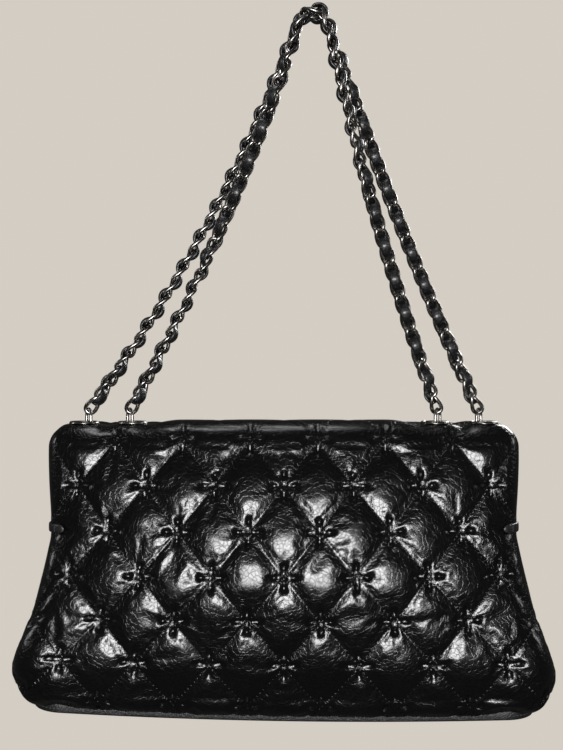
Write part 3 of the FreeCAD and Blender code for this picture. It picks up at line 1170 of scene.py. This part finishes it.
@dataclass
class Flap(Piece):
    """Quilted flap with its facing, from the hinge over the front shoulder and down."""

    quilt: Quilt
    swell: ClothSwell
    hinge: float = 13.2
    centre: tuple = (24.06, -12.0)
    slope: float = math.radians(7.6)
    shoulder: float = 7.0
    lift: float = 3.0
    half: float = 131.0
    low: float = -108.0
    corner: float = 24.0
    spacing: float = 1.3
    hinge_rows: float = -3.05
    skin_thick: float = 1.0
    rim_width: float = 4.5
    rim_roll: float = 2.4
    rim_seam: float = 5.5
    facing_lift: float = 0.3
    facing_margin: float = 1.4
    facing_thick: float = 0.8

    def profile(self, offset: float) -> np.ndarray:
        """Line from the hinge round the shoulder, an arc, and straight down to the lower edge.

        Args:
            offset: distance outside the flap's inner face.

        Returns:
            Evenly spaced points by two (y, z).
        """
        radius = self.shoulder + offset
        angle = np.linspace(math.pi / 2, self.slope, 30)
        bend = np.array(self.centre) + radius * np.stack([np.cos(angle), np.sin(angle)], axis=1)
        fall = bend[-1, 1] - self.low
        foot = bend[-1] + np.array([math.tan(self.slope) * fall, -fall])
        line = np.concatenate([[(self.hinge, self.centre[1] + radius)], bend, [foot]])
        return spaced(line, self.spacing)

    def spread(self, line: np.ndarray, columns: int, margin: float) -> tuple[np.ndarray, ...]:
        """Sheet on a profile, narrowed at the rounded lower corners.

        Args:
            line: profile points.
            columns: points across.
            margin: distance inside the flap's outline.

        Returns:
            Points, outward normals, distance across, run from the hinge, and distance from the outline.
        """
        tangent = unit(np.gradient(line, axis=0))
        out = np.stack([-tangent[:, 1], tangent[:, 0]], axis=1)
        step = np.linalg.norm(line[1] - line[0])
        run = np.arange(len(line))[:, None] * step
        left = run[-1] - run + 0.02
        round_in = np.clip(self.corner - left, 0.0, None)
        width = self.half - self.corner + np.sqrt(self.corner ** 2 - round_in ** 2 + 1e-9) - margin
        across = np.linspace(-1.0, 1.0, columns)[None] * width
        y = line[:, :1] + np.zeros_like(across)
        z = line[:, 1:] + np.zeros_like(across)
        at = np.stack([across, y, z], axis=-1)
        normal = np.stack([np.zeros_like(across), out[:, :1] + 0 * across, out[:, 1:] + 0 * across], axis=-1)
        qx = np.abs(across) - (self.half - self.corner)
        qy = self.corner - left + 0 * across
        outside = np.hypot(np.maximum(qx, 0), np.maximum(qy, 0)) + np.minimum(np.maximum(qx, qy), 0)
        return at, normal, across, run + 0 * across, self.corner - outside

    def build(self) -> None:
        """Puffed outer skin that rolls in at its edges, and a smooth facing inside it."""
        line = self.profile(self.lift)
        columns = int(2 * self.half / self.spacing)
        at, normal, across, run, edge = self.spread(line, columns, 0.0)
        rows = self.hinge_rows - run / self.quilt.row
        height = self.quilt.height(across, rows)
        height *= ease(-1.0, 9.0, run) * ease(1.0, 12.0, edge)
        rim = np.clip(1.0 - edge / self.rim_width, 0.0, 1.0)
        seam = 0.5 * np.exp(-(edge - self.rim_seam) ** 2)
        height -= self.rim_roll * (1.0 - np.sqrt(1.0 - rim ** 2)) + seam
        a, b, _ = self.quilt.lattice(across, rows)
        points = at + normal * height[..., None] + EYELET_ROW
        held = np.maximum(self.quilt.sewn(a, b), 1.0 - ease(3.0, 10.0, edge))
        held = np.maximum(held, 1.0 - ease(1.0, 8.0, run))
        skin = sheet("quilt_flap", points, uv=np.stack([a, b], axis=-1), held=held)
        self.swell.apply(skin)
        thicken(skin, self.skin_thick)
        self.dresser.finish(skin, Slot.GLAZED, Body.FLAP, "flap_panel", "flap_wadding")
        inner = self.profile(self.facing_lift)
        at, normal, across, run, _ = self.spread(inner, 90, self.facing_margin)
        ripple = 0.12 * np.sin(across / 9.0) * np.sin(run / 13.0)
        facing = sheet("flap_lining", at + normal * ripple[..., None] + EYELET_ROW, flip=True)
        thicken(facing, self.facing_thick)
        self.dresser.finish(facing, Slot.EDGE, Body.FLAP, "flap_facing")


@dataclass
class Gusset(Piece):
    """Side of the bag between back and front, with a soft inward pleat."""

    form: PouchForm
    side: Side
    back_edge: float = -12.0
    front_edge: float = 19.5
    foot: float = -160.5
    inset: float = 2.4
    pleat: float = 3.4
    pleat_at: float = 4.0
    pleat_wide: float = 5.5
    mouth_slope: float = 1.53
    foot_tuck: float = 3.4
    top_tuck: float = 7.0
    splay: float = 0.7

    def build(self) -> None:
        """Sheet at half the width less tucks and pleat, which is a bell across y that deepens downwards."""
        y = np.linspace(self.back_edge, self.front_edge, 44)[None]
        v = np.linspace(0.0, 1.0, 120)[:, None]
        top = np.where(y > HINGE_Y, -7.0 - (y - HINGE_Y) * self.mouth_slope, -6.0)
        z = top + (self.foot - top) * v
        y = y + np.zeros_like(z)
        depth = self.pleat * ease(14.0, 90.0, -z) * (1.0 - 0.9 * ease(128.0, 154.0, -z))
        bell = np.exp(-((y - self.pleat_at) / self.pleat_wide) ** 2)
        cinch = 1.1 * np.exp(-((z - STRAP_Z) / 6.0) ** 2)
        fan = 0.35 * np.sin(y * 0.9) * np.exp(-((z - STRAP_Z) / 14.0) ** 2)
        crumple = 0.4 * np.sin(z * 0.21 + 0.3 * y) * np.sin(y * 0.33 + 1.0)
        tuck = 1.5 * (1 - ease(0.0, 4.0, np.minimum(y - self.back_edge, self.front_edge - y)))
        x = self.form.half(z) - self.inset - depth * bell - cinch - tuck + fan + crumple
        x = x - self.foot_tuck * ease(-self.foot - 20.0, -self.foot, -z) ** 2
        x = x - self.top_tuck * (1 - ease(5.0, 16.0, -z))
        middle = (self.back_edge + self.front_edge) / 2
        splay = self.splay * ease(112.0, 148.0, -z)
        x = x - 3.0 * splay * ((y - middle) / (self.front_edge - middle)) ** 2
        y = y + (y - middle) * splay
        points = self.form.settle(np.stack([self.side.value * x, y, z], axis=-1))
        side = self.side.name.lower()
        piece = sheet("gusset_" + side, points, flip=self.side is Side.LEFT)
        thicken(piece, SKIN_THICK)
        self.dresser.finish(piece, Slot.GLAZED, Body.BAG, side + "_gusset",
                            material=self.dresser.smooth_glaze)


@dataclass
class Base(Piece):
    """Sole of the bag with its stitched standing band."""

    form: PouchForm
    curl: tuple = ((5.0, -157.5), (5.4, -159.0), (6.4, -160.6), (8.0, -161.4))
    under: tuple = (11.0, 33.0)
    closed: float = 31.0
    bottom: float = -164.6
    band_top: float = -160.0
    band_low: float = -166.0
    band_inset: float = 6.0
    band_thick: float = 2.0
    stitch_pitch: float = 2.35
    stitch_rise: float = 2.4

    def sole(self) -> None:
        """Rings of the outline: they curl under at the edge, then shrink to the middle line."""
        curl = np.array(self.curl)
        insets = np.concatenate([curl[:, 0], np.linspace(*self.under, 8)])
        levels = np.concatenate([curl[:, 1], np.full(8, self.bottom)])
        rings = []
        for inset, level in zip(insets, levels):
            ring = self.form.outline(BASE_Z, min(inset, self.closed), 220)
            ring[:, 1] *= 1.0 if inset < self.closed else 0.0
            ring[:, 2] = level + 0.25 * np.sin(ring[:, 0] / 21.0) * min(inset / 20.0, 1.0)
            rings.append(ring)
        points = self.form.settle(np.stack(rings))
        piece = sheet("sole", points, flip=True, wrap_cols=True)
        self.dresser.finish(piece, Slot.GLAZED, Body.BAG, "base_panel", "base_board",
                            material=self.dresser.smooth_glaze)

    def band(self) -> None:
        """Folded edge strip carried round the outline, and its row of stitches."""
        middle = (self.band_top + self.band_low) / 2
        ring = self.form.outline(BASE_Z, self.band_inset, 360)
        ring[:, 2] = middle
        along = unit(np.roll(ring, -1, axis=0) - np.roll(ring, 1, axis=0))
        away = np.cross(along, UP)
        rise = np.tile(UP, (len(ring), 1))
        grid = swept(ring, away, rise, rounded_bar(self.band_thick, self.band_top - self.band_low, 14))
        strip = sheet("base_edge", self.form.settle(grid), flip=True, wrap_rows=True, wrap_cols=True)
        self.dresser.finish(strip, Slot.EDGE, Body.BAG, "base_binding")
        count = int(length_of(np.concatenate([ring, ring[:1]])) / self.stitch_pitch)
        seam = self.form.outline(BASE_Z, self.band_inset - self.band_thick / 2 - 0.05, count)
        seam[:, 2] = self.band_low + self.stitch_rise
        stitches = stitch_row("base_stitches", self.form.settle(seam), 1.6, 0.36, closed=True)
        self.dresser.finish(stitches, Slot.EDGE, Body.BAG, material=self.dresser.thread)


@dataclass
class SideStrap(Piece):
    """Narrow strap that wraps a side edge at mid height and draws it in."""

    form: PouchForm
    side: Side
    height: float = 5.0
    thick: float = 2.2
    inner: float = 123.0
    lie: float = 0.2

    def build(self) -> None:
        """Flat profile carried along the outline from the back face round the side to the front."""
        ring = self.form.outline(STRAP_Z, self.lie, 900)
        ring = ring[self.side.value * ring[:, 0] > self.inner]
        ahead = np.where(ring[:, 1] < 0, ring[:, 0], -ring[:, 0])
        ring = ring[np.argsort(ring[:, 1] + 1e-3 * self.side.value * ahead)]
        path = even_points(ring, 110)
        along = unit(np.gradient(path, axis=0))
        away = self.side.value * np.cross(along, UP)
        rise = np.tile(UP, (len(path), 1))
        ends = np.minimum(np.arange(len(path)), np.arange(len(path))[::-1])
        tip = np.sqrt(1.0 - np.clip(1.0 - ends / 5.0, 0.0, 0.985) ** 2)[:, None, None]
        narrowed = np.concatenate([0.4 + 0.6 * tip, tip], axis=-1)
        profile = rounded_bar(self.thick, self.height)[None] * narrowed
        grid = self.form.settle(swept(path, away, rise, profile))
        side = self.side.name.lower()
        strap = sheet("cinch_" + side, grid, flip=self.side is Side.RIGHT, wrap_cols=True)
        self.dresser.finish(strap, Slot.EDGE, Body.BAG, "side_strap_" + side)
        first = path[9:14].mean(axis=0)
        rows = np.linspace(-self.height / 2 + 1.0, self.height / 2 - 1.0, 6)
        tack = first + np.stack([np.zeros(6), np.full(6, -self.thick / 2 - 0.05), rows], axis=1)
        stitches = stitch_row("tack_" + side, self.form.settle(tack), 0.8, 0.35, closed=False)
        self.dresser.finish(stitches, Slot.EDGE, Body.BAG, material=self.dresser.thread)


@dataclass
class Lining(Piece):
    """Lining of the pouch, its roof under the ridge, the slip pocket and the bound mouth edge."""

    form: PouchForm
    inset: float = 6.0
    low_inset: float = 3.5
    floor: float = -155.5
    floor_middle: float = 5.0
    floor_shares: tuple = (0.97, 0.8, 0.5, 0.2, 0.02)
    mouth_slope: float = 2.1
    roof: float = -6.9
    roof_half: float = 127.0
    roof_y: tuple = (-11.5, 12.4)
    bore: float = 7.2
    pocket_half: float = 80.0
    pocket_top: float = -58.8
    pocket_deep: float = 68.2

    def walls(self) -> None:
        """Rings of the inner outline from the mouth to the floor, then shrunk to the middle of the floor."""
        levels = np.linspace(-8.0, self.floor, 60)
        insets = self.inset + self.low_inset * ease(125.0, 154.0, -levels)
        rings = np.stack([self.form.outline(level, inset, 260) for level, inset in zip(levels, insets)])
        forward = rings[0, :, 1] - HINGE_Y
        mouth = np.where(forward > 0.0, -8.0 - forward * self.mouth_slope, -7.0)
        share = np.linspace(0.0, 1.0, len(levels))[:, None]
        rings[..., 2] = mouth + (self.floor - mouth) * share
        rings[..., :2] += 0.25 * np.sin(rings[..., 2:] / 7.0 + rings[..., :1] / 15.0)
        floors = []
        for shrink in self.floor_shares:
            ring = rings[-1].copy()
            ring[:, 1] = self.floor_middle + (ring[:, 1] - self.floor_middle) * shrink
            ring[:, 2] = self.floor - 0.6
            floors.append(ring)
        points = self.form.settle(np.concatenate([rings, np.stack(floors)]))
        piece = sheet("lining_bag", points, wrap_cols=True)
        self.dresser.finish(piece, Slot.LINING, Body.BAG, "lining")

    def ceiling(self) -> None:
        """Flat strip of lining under the ridge, open at the eyelets."""
        x = np.linspace(-self.roof_half, self.roof_half, 200)[None] + np.zeros((24, 1))
        y = np.linspace(*self.roof_y, 24)[:, None] + np.zeros((1, 200))
        points = np.stack([x, y, self.roof - 0.3 * np.cos(x / 10.0) * np.cos(y / 8.0)], axis=-1)
        keep = np.ones(x.shape, dtype=bool)
        for centre, _ in EYELETS:
            keep &= np.hypot(x - centre, y) > self.bore
        piece = sheet("lining_roof", points + EYELET_ROW, flip=True, keep=keep)
        self.dresser.finish(piece, Slot.LINING, Body.BAG)

    def pocket(self) -> None:
        """Slip pocket on the back lining: its top edge stands off a little and is hemmed."""
        across = np.linspace(-1.0, 1.0, 90)[None] + np.zeros((50, 1))
        v = np.linspace(0.0, 1.0, 50)[:, None] + np.zeros((1, 90))
        x = self.pocket_half * across
        z = self.pocket_top - self.pocket_deep * v
        slack = 1.6 * (1 - v) ** 2 * np.cos(across * math.pi / 2)
        hem = 0.35 * (1 - ease(0.10, 0.13, v))
        sewn = ease(0.0, 0.06, np.minimum(1 - np.abs(across), 1 - v))
        y = -self.form.back(z) + self.inset + 0.5 + (0.9 + slack + hem) * sewn
        piece = sheet("slip_pocket", self.form.settle(np.stack([x, y, z], axis=-1)))
        thicken(piece, 0.5)
        self.dresser.finish(piece, Slot.LINING, Body.BAG, "inner_pocket")

    def mouth_edge(self) -> None:
        """Rolled leather edge: a round profile carried from one hinge end along the mouth to the other."""
        half = float(self.form.half(np.array(-20.0)))
        front = float(self.form.front(np.array(-30.0))) - 3.4
        right = np.array([
            (half - 4.2, 13.4, -6.6), (half - 3.4, 15.5, -10.5), (half - 3.6, 19.0, -16.5),
            (half - 6.0, 23.0, -23.0), (half - 12.0, front - 0.8, -28.6), (half - 22.0, front, -30.2),
        ])
        left = right[::-1] * np.array([-1.0, 1.0, 1.0])
        line = even_points(np.concatenate([right, left]), 160)
        for _ in range(6):
            line[1:-1] = (line[:-2] + 2 * line[1:-1] + line[2:]) / 4
        along = unit(np.gradient(line, axis=0))
        side = unit(np.cross(along, (0.0, 0.6, 0.8)))
        up = np.cross(along, side)
        grid = swept(line, side, up, rounded_bar(3.4, 3.0, 12, 0.9)) + EYELET_ROW
        piece = sheet("mouth_edge", grid, wrap_cols=True)
        self.dresser.finish(piece, Slot.EDGE, Body.BAG)


@dataclass
class EyeletSet(Piece):
    """Metal eyelets in the ridge and the long links that stand in them."""

    hole: float = 6.2
    rim: float = 8.7
    depth: float = 7.8
    crown: float = 1.5
    foot: float = -13.0
    top: float = 7.5
    width: float = 9.8
    wire: float = 0.9
    seat: float = 2.2
    turned: float = 28.0
    barrel: float = 0.7
    sides: int = 56

    def rims(self) -> None:
        """Rolled rim and barrel turned about each eyelet's axis."""
        arc = np.linspace(math.pi, 0.0, 12)
        middle = (self.hole + self.rim) / 2
        reach = (self.rim - self.hole) / 2
        dome = np.stack([middle + reach * np.cos(arc), 0.1 + self.crown * np.sin(arc)], axis=1)
        outer = self.hole + self.barrel
        barrel = np.array([(outer, 0.0), (outer, -self.depth), (self.hole, -self.depth)])
        profile = np.concatenate([dome, barrel])
        turn = np.linspace(0.0, 2 * math.pi, self.sides, endpoint=False)[:, None]
        ring = np.stack([profile[:, 0] * np.cos(turn), profile[:, 0] * np.sin(turn),
                         profile[:, 1] + 0 * turn], axis=-1)
        places = np.array([(x, 0.0, 0.0) for x, _ in EYELETS]) + EYELET_ROW
        quads = grid_quads(self.sides, len(profile), True, True)
        every = repeated(quads, len(places), self.sides * len(profile))
        piece = put_in("eyelet_rims", places[:, None, None] + ring[None], every[:, ::-1])
        self.dresser.finish(piece, Slot.METAL, Body.BAG, "eyelets")

    def links(self) -> None:
        """Upright ovals of round wire: two half circles joined by straight runs, a little turned."""
        radius = self.width / 2 - self.wire
        half = (self.top - self.foot + self.seat) / 2 - radius
        arc = np.linspace(0.0, math.pi, 14)
        upper = np.stack([radius * np.cos(arc), half + radius * np.sin(arc)], axis=1)
        oval = even_points(np.concatenate([upper, -upper, upper[:1]]), 57)[:-1]
        wide, high = oval[:, 0], oval[:, 1]
        turn = math.radians(self.turned) * np.sign([x for x, _ in EYELETS])[:, None]
        loops = np.stack([np.sin(turn) * wide, np.cos(turn) * wide, high + 0 * turn], axis=-1)
        middle = (self.top + self.foot) / 2
        places = np.array([(x + off, 0.0, middle) for x, off in EYELETS]) + EYELET_ROW
        points, quads = closed_wires(places[:, None] + loops, self.wire, 12)
        piece = put_in("standing_links", points, quads)
        self.dresser.finish(piece, Slot.METAL, Body.BAG, "eyelet_links")


@dataclass
class ChainLoop(Piece):
    """One loop of curb chain over the hang point, with a flat lace woven through it."""

    name: str
    left: float
    right: float
    lean_left: float
    lean_right: float
    depth: float
    turns: tuple
    rolls: tuple
    crown: float
    foot: float = -228.5
    crown_top: float = 3.2
    pitch: float = 10.0
    wire: float = 1.15
    reach: float = 3.15
    twist: float = 43.0
    seat: float = 2.2
    wave: float = 2.9
    lace_wide: float = 6.5
    lace_slim: float = 5.2
    lace_thick: float = 1.7

    def path(self) -> np.ndarray:
        """Sagging strand as a quadratic curve, arc over the crown, and the other strand, finely divided.

        Returns:
            Points by three in the row frame.
        """
        centre = np.array([0.0, self.depth, self.crown_top - self.crown])
        a, b = math.radians(self.lean_left), math.radians(self.lean_right)
        feet = (np.array([self.left, 0.0, self.foot]), np.array([self.right, 0.0, self.foot]))
        touches = (centre + self.crown * np.array([-math.cos(a), 0.0, math.sin(a)]),
                   centre + self.crown * np.array([math.cos(b), 0.0, math.sin(b)]))
        falls = (np.array([-math.sin(a), 0.0, -math.cos(a)]), np.array([math.sin(b), 0.0, -math.cos(b)]))
        t = np.linspace(0.0, 1.0, 400)[:, None]
        strands = []
        for foot, touch, fall in zip(feet, touches, falls):
            pull = touch + fall * np.linalg.norm(touch - foot) / 2
            strands.append((1 - t) ** 2 * foot + 2 * t * (1 - t) * pull + t ** 2 * touch)
        angle = np.linspace(math.pi - a, b, 120)[:, None]
        arch = centre + self.crown * np.concatenate([np.cos(angle), 0 * angle, np.sin(angle)], axis=1)
        return np.concatenate([strands[0], arch[1:-1], strands[1][::-1]])

    def count(self) -> int:
        """Even number of links in the loop."""
        return 2 * round(length_of(self.path()) / self.pitch / 2)

    def across(self, axis: np.ndarray, share: np.ndarray) -> np.ndarray:
        """Width direction of the chain's flat: the roll between knots follows a smooth step.

        Args:
            axis: direction of the chain at each point.
            share: share of the loop's length at each point.

        Returns:
            Unit vectors square to the axis.
        """
        flat = unit(np.cross((0.0, 1.0, 0.0), axis))
        roll = np.full(share.shape, float(self.rolls[0]))
        for k in range(len(self.turns) - 1):
            roll += (self.rolls[k + 1] - self.rolls[k]) * ease(self.turns[k], self.turns[k + 1], share)
        roll = np.radians(roll)[:, None]
        return flat * np.cos(roll) + np.cross(axis, flat) * np.sin(roll)

    def links(self) -> None:
        """Curb links: reach * sin t across, its twist * sin t * cos t through, half length * cos t along."""
        count = self.count()
        stops = even_points(self.path(), count + 1)
        axis = unit(np.diff(stops, axis=0))
        flat = self.across(axis, (np.arange(count) + 0.5) / count)
        through = np.cross(axis, flat)
        pitch = np.linalg.norm(stops[1:] - stops[:-1], axis=1).mean()
        t = np.linspace(0.0, 2 * math.pi, 40, endpoint=False)[None, :, None]
        wide = self.reach * np.sin(t)
        deep = self.reach * math.tan(math.radians(self.twist)) * np.sin(t) * np.cos(t)
        long = (pitch + self.seat) / 2 * np.cos(t)
        centre = (stops[1:] + stops[:-1])[:, None] / 2
        paths = centre + flat[:, None] * wide + through[:, None] * deep + axis[:, None] * long
        for side, part in (("left", paths[:count // 2]), ("right", paths[count // 2:])):
            points, quads = closed_wires(part, self.wire, 10)
            piece = put_in("curb_%s_%s" % (self.name, side), points, quads)
            self.dresser.finish(piece, Slot.METAL, Body.STRAP, "chain_%s_%s" % (self.name, side))

    def lace(self) -> None:
        """Lace: a cosine wave over one meeting of links and under the next, broad over them, slim between."""
        count = self.count()
        steps = 14
        stops = even_points(self.path(), count * steps + 1)
        axis = unit(np.gradient(stops, axis=0))
        share = np.arange(len(stops)) / (len(stops) - 1)
        flat = self.across(axis, share)
        up = np.cross(axis, flat)
        phase = math.pi * np.arange(len(stops)) / steps
        lift = np.cos(phase)
        line = stops + up * (self.wave * np.sign(lift) * np.abs(lift) ** 0.6)[:, None]
        inside = slice(steps // 2, -(steps // 2))
        line, lift, flat = line[inside], lift[inside], flat[inside]
        along = unit(np.gradient(line, axis=0))
        up = np.cross(along, flat)
        width = self.lace_slim + (self.lace_wide - self.lace_slim) * np.abs(lift) ** 1.5
        thick = self.lace_thick * (0.8 + 0.3 * np.abs(lift))
        base = rounded_bar(1.0, 1.0, 14, 0.6)[None]
        profile = base * np.stack([width, thick], axis=-1)[:, None]
        crown = np.sign(lift)[:, None] * 0.5 * (1 - 4 * base[..., 0] ** 2)
        profile[..., 1] += crown * np.abs(lift)[:, None]
        piece = sheet("woven_lace_" + self.name, swept(line, flat, up, profile), wrap_cols=True)
        self.dresser.finish(piece, Slot.LACE, Body.STRAP, "lace_" + self.name)


@dataclass
class Studio:
    """Pale floor below the hanging bag, soft lights and the camera."""

    camera_at: tuple = (-0.0183, -0.630, -0.2077)
    focal_pixels: float = 1083.0
    frame_height: float = 750.0
    floor: float = -0.95
    pale: tuple = (0.80, 0.745, 0.67)
    seen_level: float = 0.82
    lit: tuple = (1.0, 0.98, 0.95)
    lit_level: float = 0.03
    mirrored: float = 0.025
    floor_radii: tuple = (0.001, 0.25, 0.5, 0.8, 1.2)
    floor_fade: tuple = (0.96, 1.12)
    sensor: float = 36.0

    def camera(self) -> None:
        """Level camera that looks along +Y."""
        lens = bpy.data.cameras.new("camera")
        lens.sensor_fit = "VERTICAL"
        lens.sensor_height = self.sensor
        lens.lens = self.focal_pixels / self.frame_height * self.sensor
        lens.clip_start = 0.01
        camera = bpy.data.objects.new("camera", lens)
        camera.location = self.camera_at
        camera.rotation_euler = (math.pi / 2, 0.0, 0.0)
        bpy.context.scene.collection.objects.link(camera)
        bpy.context.scene.camera = camera

    def lamp(self, name: str, at: tuple, aim: tuple, size: tuple, power: float) -> None:
        """Soft rectangular lamp aimed at a point.

        Args:
            name: name of the lamp.
            at: its place in metres.
            aim: the point that it faces.
            size: width and height in metres.
            power: watts.
        """
        light = bpy.data.lights.new(name, "AREA")
        light.shape = "RECTANGLE"
        light.size, light.size_y = size
        light.energy = power
        lamp = bpy.data.objects.new(name, light)
        lamp.location = at
        lamp.rotation_euler = (Vector(aim) - Vector(at)).to_track_quat("-Z", "Y").to_euler()
        bpy.context.scene.collection.objects.link(lamp)

    def lights(self) -> None:
        """Key lamp by the camera, a high lamp, two side lamps and one for the other side."""
        middle = (-0.017, 0.0, -0.30)
        self.lamp("key_lamp", (0.0, -1.3, -0.22), middle, (0.50, 0.42), 17.0)
        self.lamp("top_lamp", (-0.1, 0.1, 1.1), middle, (0.5, 0.4), 3.0)
        self.lamp("left_lamp", (-1.3, 0.0, 0.2), middle, (0.25, 0.5), 2.0)
        self.lamp("right_lamp", (1.3, 0.0, 0.2), middle, (0.25, 0.5), 2.0)
        self.lamp("far_lamp", (0.7, 1.1, 0.35), middle, (0.50, 0.40), 9.0)

    def ground(self) -> None:
        """Floor disc with faint mottling that fades into the background with distance from the bag."""
        turn = np.linspace(0.0, 2 * math.pi, 96, endpoint=False)
        radii = np.array(self.floor_radii)[:, None]
        level = np.full((len(radii), len(turn)), self.floor)
        points = np.stack([radii * np.cos(turn), radii * np.sin(turn), level], axis=-1)
        floor = sheet("floor", points / MM, wrap_cols=True, flip=True)
        board = FinishBoard("pale_floor")
        mottle = board.noise(board.place(), 6.0, 3.0)
        darker = tuple(0.96 * c for c in self.pale)
        board.dress(Base_Color=board.tint(mottle, darker, self.pale), Roughness=0.85)
        away = board.node("ShaderNodeVectorMath", {"operation": "LENGTH"}, {0: board.place()}, "Value")
        clear = board.node("ShaderNodeBsdfTransparent", {}, {})
        faded = {0: away.step(*self.floor_fade), 1: board.shader, 2: clear}
        board.show(board.node("ShaderNodeMixShader", {}, faded))
        floor.data.materials.append(board.material)
        floor.visible_glossy = False

    def background(self) -> None:
        """World that is pale to the camera, grey as a light, and faint in reflections."""
        world = bpy.data.worlds.new("studio")
        world.use_nodes = True
        board = Board(world.node_tree, "ShaderNodeOutputWorld")
        pale = {"Color": (*self.pale, 1.0), "Strength": self.seen_level}
        grey = {"Color": (*self.lit, 1.0), "Strength": self.lit_level}
        seen = board.node("ShaderNodeBackground", {}, pale)
        lit = board.node("ShaderNodeBackground", {}, grey)
        glossy = board.node("ShaderNodeLightPath", {}, {}, "Is Glossy Ray")
        direct = board.node("ShaderNodeLightPath", {}, {}, "Is Camera Ray")
        shown = self.mirrored * glossy + direct
        board.show(board.node("ShaderNodeMixShader", {}, {0: shown, 1: lit, 2: seen}))
        bpy.context.scene.world = world


def main() -> None:
    """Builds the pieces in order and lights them."""
    logging.basicConfig(level=logging.INFO, format="%(name)s %(message)s")
    bpy.context.scene.view_settings.view_transform = "Standard"
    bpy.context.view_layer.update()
    studio = Studio()
    studio.camera()
    dresser = Dresser()
    dresser.dress_frame()
    form = PouchForm()
    quilt = Quilt()
    swell = ClothSwell()
    outer = ChainLoop(dresser, "outer", left=-130.4, right=96.4, lean_left=20.0, lean_right=18.0,
                      depth=6.5, crown=11.0, turns=(0.0, 0.12, 0.5, 0.7, 0.88, 1.0),
                      rolls=(43, 90, 90, 180, 180, 137))
    inner = ChainLoop(dresser, "inner", left=-106.5, right=72.5, lean_left=18.0, lean_right=12.5,
                      depth=-6.5, crown=7.5, turns=(0.0, 0.08, 0.3, 0.34, 0.5, 0.6, 0.8, 0.9, 1.0),
                      rolls=(43, 70, 180, 180, 90, 90, 180, 180, 137))
    for loop in (outer, inner):
        loop.links()
        loop.lace()
    QuiltedBack(dresser, form, quilt, swell).build()
    QuiltedFront(dresser, form, quilt, swell).build()
    Flap(dresser, quilt, swell).build()
    base = Base(dresser, form)
    base.sole()
    base.band()
    for side in Side:
        Gusset(dresser, form, side).build()
        SideStrap(dresser, form, side).build()
    lining = Lining(dresser, form)
    lining.walls()
    lining.ceiling()
    lining.pocket()
    lining.mouth_edge()
    eyelets = EyeletSet(dresser)
    eyelets.rims()
    eyelets.links()
    studio.lights()
    studio.ground()
    studio.background()


if __name__ == "__main__":
    main()
